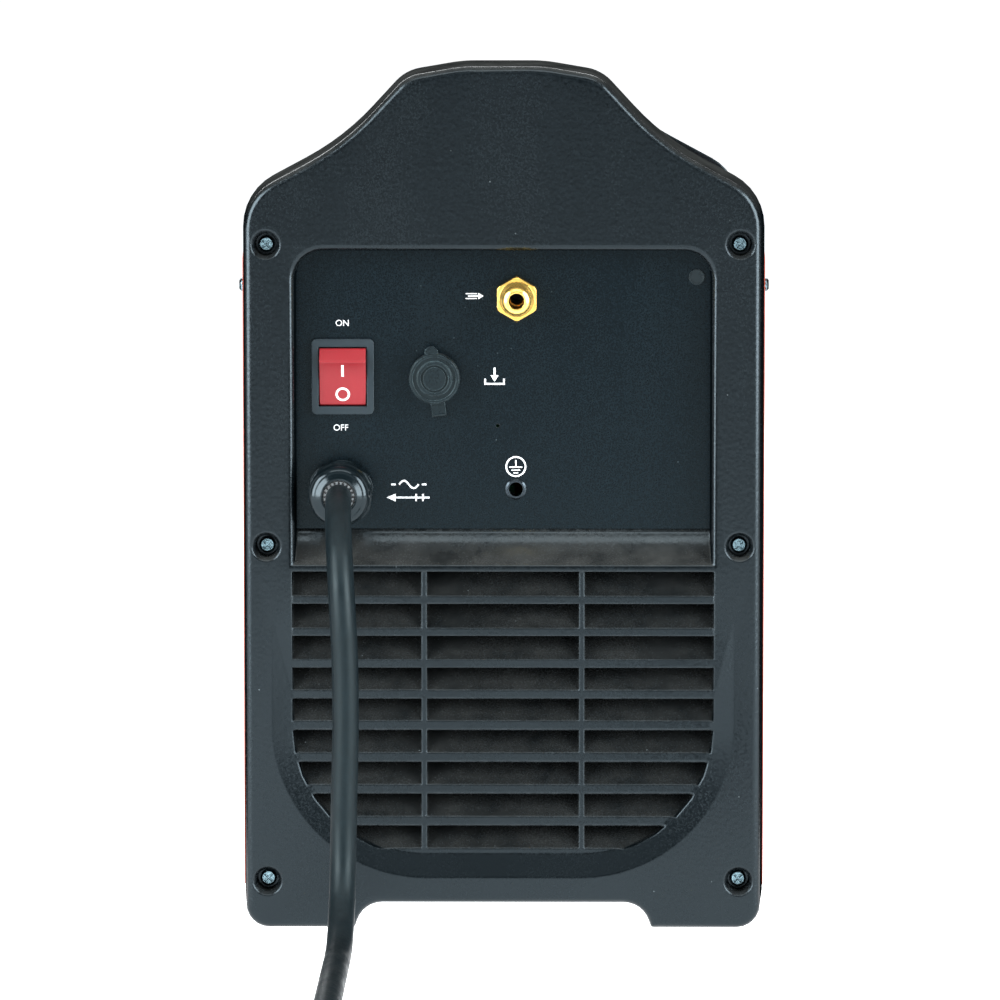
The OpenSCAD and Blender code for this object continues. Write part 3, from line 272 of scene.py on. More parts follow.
GREY_DUST = (0.30, 0.29, 0.27)
M = {
    # grained satin ABS of the bezels; its edges get a painted highlight, the dished band round the grille a painted
    # shade, and the tops and the scoop a pale dust colour that is partly painted light from above
    "bezel": surface("bezel_abs", (0.0015, 0.0025, 0.0032), 0.225, spec=0.31, tint=(0.71, 0.89, 1.0), grain=(0.0017, 0.000040),
                     fine=(0.0006, 0.000008), mottle=(9, 0.16), edge=0.0012, rounded=8, rough_var=0.02, wear_and_highlight=((0.05, 0.06, 0.065), 0.3),
                     dust=((0.265, 0.275, 0.262), 0.058), smear=0.02, specks=(0.011, 0.028, (0.07, 0.085, 0.09)), salt=(0.0009, 0.6, 0.06),
                     band=0.84, dull_sides=True),
    "panel": surface("panel_paint", (0.0008, 0.0025, 0.0040), 0.27, spec=0.19, tint=(0.68, 0.90, 1.0), fine=(0.0005, 0.000006),
                     mottle=(7, 0.2), edge=0.0003, rough_var=0.03, wear_and_highlight=((0.2, 0.2, 0.2), 0.3), dust=(GREY_DUST, 0.006), smear=0.02,
                     specks=(0.008, 0.030, (0.05, 0.07, 0.08)), salt=(0.0007, 0.7, 0.06)),
    "cover": surface("cover_powder_coat", (0.26, 0.022, 0.004), 0.40, spec=0.30, fine=(0.0009, 0.00003),
                     mottle=(6, 0.05), edge=0.0005, wear_and_highlight=((0.35, 0.17, 0.11), 0.3), dust=(GREY_DUST, 0.05), smear=0.04, dull_sides=True),
    "zinc": surface("zinc_sheet", (0.58, 0.60, 0.62), 0.34, metallic=1.0, fine=(0.004, 0.00003),
                    mottle=(90, 0.16), edge=0.0003, brushed=("y", 0.00001)),
    "handle": surface("handle_plastic", (0.0075, 0.0085, 0.0095), 0.40, spec=0.4, grain=(0.0008, 0.00004), mottle=(12, 0.12),
                      edge=0.0006, wear_and_highlight=((0.09, 0.09, 0.09), 0.3), dust=(GREY_DUST, 0.03), smear=0.04),
    "grip": surface("grip_rubber", (0.0062, 0.0064, 0.0068), 0.62, spec=0.3, grain=(0.0011, 0.00012), mottle=(20, 0.15),
                    edge=0.0006, dust=(GREY_DUST, 0.045), sheen=0.03),
    "screw": surface("zinc_screw", (0.17, 0.26, 0.30), 0.14, metallic=1.0, fine=(0.0011, 0.00036), mottle=(160, 0.4),
                     edge=0.00016, rough_var=0.08, scratches=0.00003),
    "black": surface("black_plastic", (0.0080, 0.0085, 0.0095), 0.40, grain=(0.0006, 0.00003), mottle=(30, 0.12),
                     edge=0.0003, wear_and_highlight=((0.12, 0.12, 0.12), 0.3), dust=(GREY_DUST, 0.06)),
    "switch_frame": surface("switch_frame_plastic", (0.0040, 0.0072, 0.0102), 0.38, spec=0.40, tint=(0.78, 0.94, 1.0), fine=(0.0005, 0.00001),
                            mottle=(30, 0.08), edge=0.0006, dust=(GREY_DUST, 0.02)),
    "rocker": surface("rocker_red", (0.142, 0.0084, 0.0118), 0.34, spec=0.22, fine=(0.002, 0.00001), mottle=(40, 0.05),
                      edge=0.0004, smear=0.05, coat=(0.06, 0.2)),
    "tin": surface("tinned_brass", (0.72, 0.70, 0.62), 0.3, metallic=1.0, mottle=(200, 0.1), edge=0.0001, brushed=("y", 0.00001)),
    "gland": surface("gland_nylon", (0.0022, 0.0040, 0.0050), 0.13, spec=0.25, tint=(0.72, 0.90, 1.0), fine=(0.004, 0.00001), mottle=(30, 0.1),
                     edge=0.0005, rough_var=0.04, coat=(0.05, 0.06)),
    # a much lighter grey than the gland's black nylon, a painted highlight so that the finger tips show as bright
    # dashes
    "seal": surface("seal_nylon", (0.06, 0.07, 0.075), 0.26, spec=0.7, fine=(0.0007, 0.00002), mottle=(40, 0.15),
                    edge=0.0002, dust=(GREY_DUST, 0.03)),
    "cap": surface("cap_rubber", (0.0014, 0.0034, 0.0050), 0.31, spec=0.27, tint=(0.74, 0.95, 1.0), fine=(0.0006, 0.00001),
                   mottle=(40, 0.12), edge=0.0004, wear_and_highlight=((0.055, 0.085, 0.095), 1.0), dust=(GREY_DUST, 0.006), sheen=0.01,
                   specks=(0.006, 0.03, (0.05, 0.06, 0.065)), salt=(0.0009, 0.5, 0.05)),
    "brass": surface("turned_brass", (0.92, 0.60, 0.15), 0.20, metallic=0.93, fine=(0.0016, 0.000012), mottle=(120, 0.07),
                     edge=0.0005, rough_var=0.05, brushed=("x", 0.000005)),
    "steel": surface("bright_steel", (0.62, 0.62, 0.64), 0.28, metallic=1.0, mottle=(120, 0.1), edge=0.0002, brushed=("z", 0.00001)),
    "hose": surface("air_hose_blue", (0.03, 0.10, 0.30), 0.38, mottle=(30, 0.1), fine=(0.001, 0.00002), edge=0, smear=0.05),
    "nickel": surface("nickel_plate", (0.66, 0.66, 0.64), 0.22, metallic=1.0, mottle=(140, 0.1), fine=(0.0016, 0.00001),
                      edge=0.0003, brushed=("x", 0.000006)),
    "copper": surface("enamelled_copper", (0.52, 0.19, 0.06), 0.30, metallic=0.75, mottle=(200, 0.15), edge=0.0003,
                      brushed=("x", 0.0001), coat=(0.4, 0.2)),
    "alu": surface("extruded_aluminium", (0.76, 0.77, 0.78), 0.32, metallic=1.0, mottle=(60, 0.06), edge=0.0003, brushed=("y", 0.00003)),
    "board": surface("circuit_board", (0.012, 0.12, 0.045), 0.32, mottle=(160, 0.35), fine=(0.002, 0.00006), edge=0.0002, coat=(0.3, 0.15)),
    "sleeve": surface("capacitor_sleeve", (0.016, 0.024, 0.09), 0.28, mottle=(60, 0.1), fine=(0.002, 0.00003), edge=0.0006),
    "tape": surface("yellow_tape", (0.66, 0.45, 0.05), 0.38, mottle=(80, 0.1), fine=(0.002, 0.00008), edge=0.0004),
    "ferrite": surface("ferrite", (0.028, 0.028, 0.030), 0.5, mottle=(120, 0.3), fine=(0.0009, 0.00006), edge=0.0004),
    "coil": surface("varnished_coil", (0.34, 0.05, 0.02), 0.3, mottle=(90, 0.2), edge=0.0003, brushed=("x", 0.0001), coat=(0.5, 0.15)),
    "overlay": surface("overlay_film", (0.030, 0.036, 0.042), 0.42, spec=0.45, grain=(0.0005, 0.00002), mottle=(10, 0.06),
                       edge=0.0002, smear=0.05),
    "window": surface("display_window_tint", (0.030, 0.003, 0.003), 0.09, spec=0.6, mottle=(20, 0.05), edge=0.0003,
                      rough_var=0.03, coat=(0.6, 0.03), smear=0.02),
    "led": surface("led_lens_green", (0.06, 0.42, 0.10), 0.16, mottle=(100, 0.06), edge=0.0002, coat=(0.5, 0.05),
                   emission=((0.05, 0.6, 0.12), 0.25)),
    "knob": surface("knob_plastic", (0.0085, 0.0085, 0.0095), 0.36, grain=(0.0006, 0.00003), mottle=(40, 0.1), edge=0.0005,
                    wear_and_highlight=((0.1, 0.1, 0.1), 0.4), dust=(GREY_DUST, 0.06)),
    "button_grey": surface("button_grey", (0.10, 0.115, 0.13), 0.38, mottle=(60, 0.08), fine=(0.0006, 0.00003), edge=0.0004, smear=0.05),
    "button_blue": surface("button_blue", (0.015, 0.075, 0.26), 0.34, mottle=(60, 0.08), fine=(0.0006, 0.00003), edge=0.0004, smear=0.05),
    "lead": surface("lead_sheath", (0.0030, 0.0062, 0.0080), 0.47, spec=0.15, tint=(0.78, 0.96, 1.0), fine=(0.0011, 0.00002),
                    mottle=(35, 0.14), edge=0, rough_var=0.06, smear=0.05, dust=(GREY_DUST, 0.02), salt=(0.0012, 0.4, 0.05)),
    "plug": surface("plug_rubber", (0.0050, 0.0056, 0.0062), 0.44, spec=0.3, grain=(0.0007, 0.00003), mottle=(30, 0.12), edge=0.0006,
                    wear_and_highlight=((0.05, 0.05, 0.05), 0.4), dust=(GREY_DUST, 0.02)),
    "dark_plate": surface("black_zinc", (0.034, 0.044, 0.052), 0.24, metallic=1.0, mottle=(140, 0.15), fine=(0.0016, 0.00001),
                          edge=0.0002, brushed=("x", 0.000006)),
    "plugs": surface("plug_nylon", (0.0022, 0.0050, 0.0068), 0.32, spec=0.4, tint=(0.8, 0.95, 1.0), fine=(0.0006, 0.000008),
                     mottle=(60, 0.1), edge=0.0002, dust=(GREY_DUST, 0.02)),
    "ink": surface("print_white", (0.50, 0.52, 0.53), 0.55, spec=0.3, mottle=(300, 0.05), fine=(0.0004, 0.00001), edge=0),
    "ink_grey": surface("print_grey", (0.36, 0.38, 0.40), 0.55, spec=0.3, mottle=(300, 0.05), edge=0),
    "ink_orange": surface("print_orange", (0.72, 0.16, 0.03), 0.5, spec=0.3, mottle=(200, 0.05), edge=0),
    "digit": surface("display_digit", (0.9, 0.10, 0.05), 0.4, mottle=(200, 0.05), edge=0, emission=((1.0, 0.06, 0.03), 1.6)),
    "felt": surface("black_felt", (0.006, 0.006, 0.006), 0.9, spec=0.1, mottle=(30, 0.2), fine=(0.0009, 0.0001), edge=0),
    "tie": surface("hook_and_loop_tie", (0.0055, 0.0056, 0.0062), 0.8, spec=0.15, grain=(0.0012, 0.0003), fine=(0.0004, 0.0001),
                   mottle=(60, 0.2), edge=0.0003, sheen=0.04),
}

FINISH = {
    "bezel": "rear_bezel front_bezel", "panel": "rear_panel front_panel", "cover": "case_cover",
    "zinc": "base_plate divider_plate", "handle": "handle_bar", "grip": "handle_grip",
    "screw": "rear_bezel_screws front_bezel_screws case_screws", "switch_frame": "switch_body", "rocker": "switch_rocker",
    "tin": "switch_terminals", "gland": "gland_body gland_locknut gland_nut", "seal": "gland_seal", "cap": "dust_cap",
    "brass": "air_inlet valve_block torch_connector work_insert", "plugs": "panel_plugs", "black": "valve_coil remote_insert fan_frame fan_rotor "
    "power_semiconductors torch_flange work_socket", "steel": "valve_plunger board_pillars", "hose": "air_hose",
    "nickel": "remote_socket panel_nuts potentiometer", "dark_plate": "earth_terminal", "copper": "fan_stator filter_choke output_choke",
    "alu": "heatsinks", "board": "power_board filter_board control_board", "sleeve": "bus_capacitors",
    "tape": "board_components", "ferrite": "main_transformer", "coil": "pilot_coil", "overlay": "control_overlay",
    "window": "display_window", "led": "indicator_leds", "knob": "current_knob", "button_grey": "mode_button",
    "button_blue": "air_test_button", "lead": "mains_lead mains_coil", "plug": "mains_plug",
}
for key, names in FINISH.items():
    for n in names.split():
        N[n].data.materials.clear()
        N[n].data.materials.append(M[key])


# ------------------------------------------------- smooth shading of CAD nodes
def smoothing_group(angle, crease=None):
    """Smooth shading below the angle; edges whose angle lies between the two of crease stay sharp."""
    g = bpy.data.node_groups.new("smooth_%d" % round(math.degrees(angle)), "GeometryNodeTree")
    g.interface.new_socket("Geometry", in_out="INPUT", socket_type="NodeSocketGeometry")
    g.interface.new_socket("Geometry", in_out="OUTPUT", socket_type="NodeSocketGeometry")
    a, z = g.nodes.new("NodeGroupInput"), g.nodes.new("NodeGroupOutput")
    weld = g.nodes.new("GeometryNodeMergeByDistance")
    weld.inputs["Distance"].default_value = 0.000004
    drop = g.nodes.new("GeometryNodeRemoveAttribute")
    drop.inputs["Name"].default_value = "custom_normal"
    face = g.nodes.new("GeometryNodeSetShadeSmooth")
    face.domain = "FACE"
    face.inputs["Shade Smooth"].default_value = True
    turn = g.nodes.new("GeometryNodeInputMeshEdgeAngle")
    less = g.nodes.new("FunctionNodeCompare")
    less.data_type, less.operation = "FLOAT", "LESS_THAN"
    less.inputs[1].default_value = angle
    edge = g.nodes.new("GeometryNodeSetShadeSmooth")
    edge.domain = "EDGE"
    g.links.new(a.outputs[0], weld.inputs["Geometry"])
    g.links.new(weld.outputs["Geometry"], drop.inputs["Geometry"])
    g.links.new(drop.outputs["Geometry"], face.inputs["Geometry"])
    g.links.new(face.outputs["Geometry"], edge.inputs["Geometry"])
    g.links.new(turn.outputs["Unsigned Angle"], less.inputs[0])
    smooth_edge = less.outputs["Result"]
    for limit, op in zip(crease or (), ("GREATER_THAN", "LESS_THAN")):
        c = g.nodes.new("FunctionNodeCompare")
        c.data_type, c.operation = "FLOAT", op
        c.inputs[1].default_value = limit
        g.links.new(turn.outputs["Unsigned Angle"], c.inputs[0])
        if op == "GREATER_THAN":
            above = c.outputs["Result"]
            continue
        both = g.nodes.new("FunctionNodeBooleanMath")
        both.operation = "NAND"
        g.links.new(above, both.inputs[0])
        g.links.new(c.outputs["Result"], both.inputs[1])
        keep = g.nodes.new("FunctionNodeBooleanMath")
        keep.operation = "AND"
        g.links.new(smooth_edge, keep.inputs[0])
        g.links.new(both.outputs[0], keep.inputs[1])
        smooth_edge = keep.outputs[0]
    g.links.new(smooth_edge, edge.inputs["Shade Smooth"])
    g.links.new(edge.outputs["Geometry"], z.inputs[0])
    return g


smooth = smoothing_group(math.radians(28))
smooth_rear = smoothing_group(math.radians(28), (math.radians(14.4), math.radians(16.2)))
for n in ("rear_bezel front_bezel rear_panel front_panel case_cover handle_bar handle_grip switch_body fan_frame "
          "control_overlay air_hose fan_rotor").split():
    o = N[n]
    mod = o.modifiers.new("smooth", "NODES")
    mod.node_group = smooth_rear if n == "rear_bezel" else smooth
    wn = o.modifiers.new("weighted", "WEIGHTED_NORMAL")
    wn.mode, wn.weight, wn.keep_sharp = "FACE_AREA", 50, True


# ------------------------------------------------------------ mesh helpers
def obj_of(name, bm, mat, body, smooth_faces=False):
    bmesh.ops.recalc_face_normals(bm, faces=bm.faces)
    me = bpy.data.meshes.new(name)
    bm.to_mesh(me)
    bm.free()
    o = bpy.data.objects.new(name, me)
    scene.collection.objects.link(o)
    me.materials.append(mat)
    if smooth_faces:
        for p in me.polygons:
            p.use_smooth = True
    if body:
        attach(o, body)
    return o


def rear(u, v, w):
    """A point on the rear panel: u to the right as seen, v up, w out of the panel; millimetres."""
    return Vector((-u, YP + w, v)) * 0.001


def front(u, v, w):
    return Vector((u, -YP - w, v)) * 0.001


def prism(bm, loop, put, w0, w1):
    lo = [bm.verts.new(put(u, v, w0)) for u, v in loop]
    hi = [bm.verts.new(put(u, v, w1)) for u, v in loop]
    n = len(loop)
    bm.faces.new(lo[::-1])
    bm.faces.new(hi)
    for i in range(n):
        bm.faces.new((lo[i], lo[(i + 1) % n], hi[(i + 1) % n], hi[i]))


def ring(bm, c, ro, ri, put, w0, w1, n=64, a0=0.0, a1=360.0):
    full = abs(a1 - a0) >= 360
    k = n if full else n + 1
    rows = []
    for i in range(k):
        a = math.radians(a0 + (a1 - a0) * i / n)
        d = (math.cos(a), math.sin(a))
        rows.append([bm.verts.new(put(c[0] + r * d[0], c[1] + r * d[1], w)) for r, w in ((ro, w0), (ro, w1), (ri, w1), (ri, w0))])
    for i in range(n):
        a, b = rows[i], rows[(i + 1) % k]
        for j in range(4):
            bm.faces.new((a[j], b[j], b[(j + 1) % 4], a[(j + 1) % 4]))
    if not full:
        bm.faces.new(rows[0])
        bm.faces.new(rows[-1][::-1])


def disc(bm, c, r, put, w0, w1, n=48):
    prism(bm, [(c[0] + r * math.cos(2 * math.pi * i / n), c[1] + r * math.sin(2 * math.pi * i / n)) for i in range(n)], put, w0, w1)


def stroke(bm, pts, width, put, w0, w1):
    """A line of that width through the points, as a closed thin solid."""
    left, right = [], []
    for i, p in enumerate(pts):
        p = Vector(p)
        d0 = (p - Vector(pts[i - 1])).normalized() if i else None
        d1 = (Vector(pts[i + 1]) - p).normalized() if i < len(pts) - 1 else None
        d = (d0 + d1).normalized() if d0 and d1 else (d0 or d1)
        nrm = Vector((-d.y, d.x))
        k = 1.0
        if d0 and d1:
            k = 1 / max(0.5, nrm.dot(Vector((-d0.y, d0.x))))
        left.append(p + nrm * width / 2 * k)
        right.append(p - nrm * width / 2 * k)
    rows = [[bm.verts.new(put(q.x, q.y, w)) for q, w in ((l, w0), (l, w1), (r_, w1), (r_, w0))] for l, r_ in zip(left, right)]
    for a, b in zip(rows, rows[1:]):
        for j in range(4):
            bm.faces.new((a[j], b[j], b[(j + 1) % 4], a[(j + 1) % 4]))
    bm.faces.new(rows[0])
    bm.faces.new(rows[-1][::-1])


def lettering(name, body_text, height, centre, side, mat, body, bold=0.0, w=0.06):
    """Printed characters, cap height in millimetres, centred on the point."""
    cu = bpy.data.curves.new(name, "FONT")
    cu.body = body_text
    cu.align_x, cu.align_y = "CENTER", "CENTER"
    cu.size = height / 0.70 * 0.001
    cu.offset = bold * 0.001
    cu.extrude = 0.00003
    cu.resolution_u = 6
    t = bpy.data.objects.new(name + "_text", cu)
    scene.collection.objects.link(t)
    bpy.context.view_layer.update()
    me = bpy.data.meshes.new_from_object(t.evaluated_get(bpy.context.evaluated_depsgraph_get()))
    bpy.data.objects.remove(t)
    s = -1 if side == "rear" else 1
    y = (YP + w) if side == "rear" else -(YP + w)
    me.transform(Matrix(((s, 0, 0, centre[0] * 0.001), (0, 0, -s, y * 0.001), (0, 1, 0, centre[1] * 0.001), (0, 0, 0, 1))))
    me.name = name
    me.materials.clear()
    me.materials.append(mat)
    o = bpy.data.objects.new(name, me)
    scene.collection.objects.link(o)
    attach(o, body)
    return o


# --------------------------------------------------------------- mains lead
def lead_points():
    """Centre of the lead from the gland to the plug, in millimetres."""
    P = [(66.7, 205.0, 178.8), (66.6, 214.0, 178.8), (66.4, 223.0, 178.6)]
    for a, x in ((22.5, 66.0), (45, 65.3), (67.5, 64.3), (90, 63.3)):
        t = math.radians(a)
        P.append((x, 221 + 43 * math.sin(t) - a / 90 * 1.0, 135.8 + 43 * math.cos(t)))
    P += [(62.6, 262.8, 121), (62.3, 262.4, 106), (62.3, 262.1, 90), (62.6, 262.0, 75), (63.0, 262.0, 61)]
    for a in (0, 22.5, 45, 67.5, 90):
        t = math.radians(a)
        P.append((63.2 + a / 90 * 0.8, 305 - 43 * math.cos(t), 48.6 - 43 * math.sin(t)))
    P += [(64, y, FLOOR_Z) for y in (330, 360, 390, 420, 450, 480, 510, 535, 558)]
    n = len(P)
    # nearly three turns on the floor, then one and a third on top of them
    for i in range(int(2.75 * 16) + 1):
        t = i / 16
        R, a = 75.02 - LEAD_D * t, 2 * math.pi * t
        P.append((COIL[0] + R * math.cos(a), COIL[1] + R * math.sin(a), FLOOR_Z))
    for i in range(1, 6):
        t = 2.75 + 0.3 * i / 5
        s = i / 5
        R, a = 45.87 + 0.13 * s, 2 * math.pi * t
        P.append((COIL[0] + R * math.cos(a), COIL[1] + R * math.sin(a), FLOOR_Z + 10.8 * s * s * (3 - 2 * s)))
    for i in range(1, 20):
        t = 3.05 + 1.2 * i / 19
        R, a = 46 + 19.8 * i / 19, 2 * math.pi * t
        P.append((COIL[0] + R * math.cos(a), COIL[1] + R * math.sin(a), FLOOR_Z + 10.8))
    P += [(COIL[0] - 14, COIL[1] + 66.4, 17.2), (COIL[0] - 28, COIL[1] + 65.9, 18.8), (COIL[0] - 44, COIL[1] + 65.8, 19.5)]
    return P, n


LEAD, UNCOILED = lead_points()
cu = bpy.data.curves.new("mains_lead_sheath", "CURVE")
cu.dimensions = "3D"
cu.bevel_depth = LEAD_D / 2 * 0.001
cu.bevel_resolution = 8
cu.resolution_u = 6
cu.use_fill_caps = True
sp = cu.splines.new("BEZIER")
sp.bezier_points.add(len(LEAD) - 1)
for bp_, p in zip(sp.bezier_points, LEAD):
    bp_.co = Vector(p) * 0.001
    bp_.handle_left_type = bp_.handle_right_type = "AUTO"
lead = bpy.data.objects.new("mains_lead_sheath", cu)
scene.collection.objects.link(lead)
cu.materials.append(M["lead"])
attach(lead, "unit")
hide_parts("mains_lead", "mains_coil")
lead.visible_glossy = False      # the stored coil isn't mirrored in the bezel's gloss


def tie_round_coil(name, angle):
    """A hook-and-loop strap round the bundle of turns, with its overlapped end."""
    a = math.radians(angle)
    er, et = Vector((math.cos(a), math.sin(a), 0)), Vector((-math.sin(a), math.cos(a), 0))
    c = Vector((COIL[0], COIL[1], 0))
    inner, outer, top = 39.2, 81.4, 22.6
    prof = [(inner, 1.2), (inner + 1.0, 0.25), (outer - 1.0, 0.25), (outer, 1.2), (outer, 8.5), (outer - 2.5, 11.8),
            (71.5, 18.0), (68.5, top), (46.0, top), (42.0, 19.5), (inner, 14.0), (inner, 8.0)]
    bm = bmesh.new()
    rows = []
    th = 0.9
    m = len(prof)
    for i, (r, z) in enumerate(prof):
        p0, p1 = Vector(prof[i - 1]), Vector(prof[(i + 1) % m])
        d = (p1 - p0).normalized()
        nrm = Vector((d.y, -d.x))
        row = []
        for k, (t, h) in enumerate(((-9, 0), (-9, th), (9, th), (9, 0))):
            q = Vector((r, z)) + nrm * (h if z > 1 else h * 0.2)
            row.append(bm.verts.new((c + er * q.x + et * t + Vector((0, 0, max(q.y, 0.05)))) * 0.001))
        rows.append(row)
    for i in range(m):
        p, q = rows[i], rows[(i + 1) % m]
        for j in range(4):
            bm.faces.new((p[j], q[j], q[(j + 1) % 4], p[(j + 1) % 4]))
    # the loose end of the strap, lying over the top
    end = []
    for r, z in ((70.5, 20.3), (67.5, 23.8), (57, 24.2), (48, 24.0), (44.5, 23.4)):
        end.append([bm.verts.new((c + er * r + et * t + Vector((0, 0, z + h))) * 0.001) for t, h in ((-8.5, 0), (-8.5, th), (8.5, th), (8.5, 0))])
    for p, q in zip(end, end[1:]):
        for j in range(4):
            bm.faces.new((p[j], q[j], q[(j + 1) % 4], p[(j + 1) % 4]))
    bm.faces.new(end[0])
    bm.faces.new(end[-1][::-1])
    o = obj_of(name, bm, M["tie"], "unit")
    bv = o.modifiers.new("bevel", "BEVEL")
    bv.width, bv.segments, bv.limit_method = 0.0003, 2, "ANGLE"
    return o


ties = [tie_round_coil("lead_tie_a", 205), tie_round_coil("lead_tie_b", 335)]

total = 0.0
fine_pts = []
for i in range(len(LEAD) - 1):
    total += (Vector(LEAD[i + 1]) - Vector(LEAD[i])).length


# ---------------------------------------------------- printed marks, rear panel
INK0, INK1 = 0.03, 0.09
lettering("mark_on", "ON", 2.5, (66.0, 248.2), "rear", M["ink"], "unit", bold=0.005)
lettering("mark_off", "OFF", 2.5, (66.7, 205.2), "rear", M["ink"], "unit", bold=0.005)

bm = bmesh.new()
# protective earth: ring, stem and three bars
ex, ez = 5.2, 189.3          # u is -x
ring(bm, (ex, ez), 4.27, 3.62, rear, INK0, INK1, 56)
stroke(bm, [(ex, ez + 2.65), (ex, ez - 0.2)], 0.52, rear, INK0, INK1)
stroke(bm, [(ex - 2.7, ez - 0.25), (ex + 2.7, ez - 0.25)], 0.50, rear, INK0 + 0.002, INK1 + 0.002)
stroke(bm, [(ex - 1.8, ez - 1.47), (ex + 1.8, ez - 1.47)], 0.42, rear, INK0, INK1)
stroke(bm, [(ex - 1.0, ez - 2.62), (ex + 1.0, ez - 2.62)], 0.42, rear, INK0, INK1)
# arrow into a tray
ax, az = -3.55, 223.0
stroke(bm, [(ax - 3.85, az + 2.5), (ax - 3.85, az + 0.35), (ax + 3.85, az + 0.35), (ax + 3.85, az + 2.5)], 0.72, rear, INK0, INK1)
stroke(bm, [(ax, az + 7.0), (ax, az + 3.4)], 0.80, rear, INK0, INK1)
prism(bm, [(ax - 1.65, az + 3.9), (ax, az + 1.3), (ax + 1.65, az + 3.9)], rear, INK0 + 0.002, INK1 + 0.002)
# air flowing to the inlet: three lines and a head
gx, gz = -12.0, 259.4
for k, (a, b_) in enumerate(((-3.4, 1.2), (-2.4, 3.0), (-3.4, 1.2))):
    stroke(bm, [(gx + a, gz + 1.0 - k), (gx + b_, gz + 1.0 - k)], 0.42, rear, INK0, INK1)
prism(bm, [(gx + 1.7, gz - 1.35), (gx + 3.9, gz), (gx + 1.7, gz + 1.35)], rear, INK0 + 0.002, INK1 + 0.002)
# alternating supply: one full wave between two short bars, and a bar pair below
mx, mz = -38.8, 181.9
wave = [(mx - 4.0 + 8.0 * i / 24, mz + 1.55 * math.sin(2 * math.pi * i / 24)) for i in range(25)]
stroke(bm, wave, 0.72, rear, INK0, INK1)
for s in (-1, 1):
    stroke(bm, [(mx + s * 5.4, mz), (mx + s * 7.2, mz)], 0.72, rear, INK0, INK1)
arrow_z = 176.5
stroke(bm, [(mx - 5.6, arrow_z), (mx + 8.6, arrow_z)], 0.72, rear, INK0, INK1)
prism(bm, [(mx - 9.2, arrow_z), (mx - 5.4, arrow_z + 1.65), (mx - 5.4, arrow_z - 1.65)][::-1], rear, INK0 + 0.002, INK1 + 0.002)
for s in (3.0, 5.8):
    stroke(bm, [(mx + s, arrow_z - 1.5), (mx + s, arrow_z + 1.5)], 0.72, rear, INK0 + 0.004, INK1 + 0.004)
marks = obj_of("rear_marks", bm, M["ink"], "unit")


# ------------------------------------------------------------ rocker and marks
def rocker_point(x, z, depth):
    """A point on the tilted rocker: x, z along it and depth out of it, from its pin."""
    c, s = math.cos(math.radians(THROW)), math.sin(math.radians(THROW))
    return Vector((SWITCH[0] + x, YP + 0.6 + depth * c + z * s, SWITCH[1] + z * c - depth * s)) * 0.001


def rocker_depth(z):
    """Height of the rocker's hollow face."""
    return 2.8 + (1.9 * min(1.0, z / 7.1) ** 1.9 if z > 0 else 0.6 * min(1.0, -z / 10.7) ** 1.6)


def build_rocker():
    prof = [(-11.3, -3.0), (-11.75, 1.55), (-11.7, 2.1), (-11.5, 2.75), (-11.15, 3.2), (-10.7, 3.4)]
    prof += [(z, rocker_depth(z)) for z in (-9.6, -8.4, -7.2, -6.0, -4.8, -3.6, -2.4, -1.2, 0, 1.2, 2.4, 3.6, 4.8, 5.8, 6.5)]
    prof += [(7.0, 4.66), (7.3, 4.68), (7.6, 4.6), (7.95, 4.35), (11.45, 0.70), (11.75, 0.35), (11.85, 0.0), (11.4, -3.0)]
    bm = bmesh.new()
    xs = (-9.55, -9.45, -9.1, -6, -2, 2, 6, 9.1, 9.45, 9.55)
    rows = []
    for x in xs:
        drop = 0.45 if abs(x) > 9.5 else (0.14 if abs(x) > 9.3 else 0.0)
        rows.append([bm.verts.new(rocker_point(x, z * (1 - drop * 0.02), d - (drop if d > 0 else 0))) for z, d in prof])
    n = len(prof)
    for a, b_ in zip(rows, rows[1:]):
        for j in range(n):
            bm.faces.new((a[j], b_[j], b_[(j + 1) % n], a[(j + 1) % n]))
    bm.faces.new(rows[0])
    bm.faces.new(rows[-1][::-1])
    # the two pins it turns on
    for s in (-1, 1):
        k = 20
        a = [bm.verts.new(rocker_point(s * 9.5, 1.18 * math.cos(2 * math.pi * i / k), 1.18 * math.sin(2 * math.pi * i / k))) for i in range(k)]
        b_ = [bm.verts.new(rocker_point(s * 10.5, 1.18 * math.cos(2 * math.pi * i / k), 1.18 * math.sin(2 * math.pi * i / k))) for i in range(k)]
        for i in range(k):
            bm.faces.new((a[i], a[(i + 1) % k], b_[(i + 1) % k], b_[i]))
        bm.faces.new(a[::-1])
        bm.faces.new(b_)
    o = obj_of("rocker_moulding", bm, M["rocker"], "switch_rocker_body", smooth_faces=True)
    mod = o.modifiers.new("smooth", "NODES")
    mod.node_group = smoothing_group(math.radians(40))
    wn = o.modifiers.new("weighted", "WEIGHTED_NORMAL")
    wn.mode, wn.weight, wn.keep_sharp = "FACE_AREA", 50, True
    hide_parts("switch_rocker")
    return o


build_rocker()


def on_rocker(u, v, w):
    return rocker_point(-u, v, rocker_depth(v) + w)


bm = bmesh.new()
stroke(bm, [(0.0, 5.8), (0.0, 4.6), (0.0, 3.3), (0.0, 2.0), (0.0, 0.7)], 1.02, on_rocker, -0.10, 0.05)
n = 48
rows = []
for i in range(n):
    a = 2 * math.pi * i / n
    rows.append([bm.verts.new(on_rocker(r * math.cos(a), -6.75 + r * 0.95 * math.sin(a), w)) for r, w in ((2.95, -0.10), (2.95, 0.05), (2.08, 0.05), (2.08, -0.10))])
for i in range(n):
    a, b_ = rows[i], rows[(i + 1) % n]
    for j in range(4):
        bm.faces.new((a[j], b_[j], b_[(j + 1) % 4], a[(j + 1) % 4]))
obj_of("rocker_marks", bm, M["ink"], "switch_rocker_body")


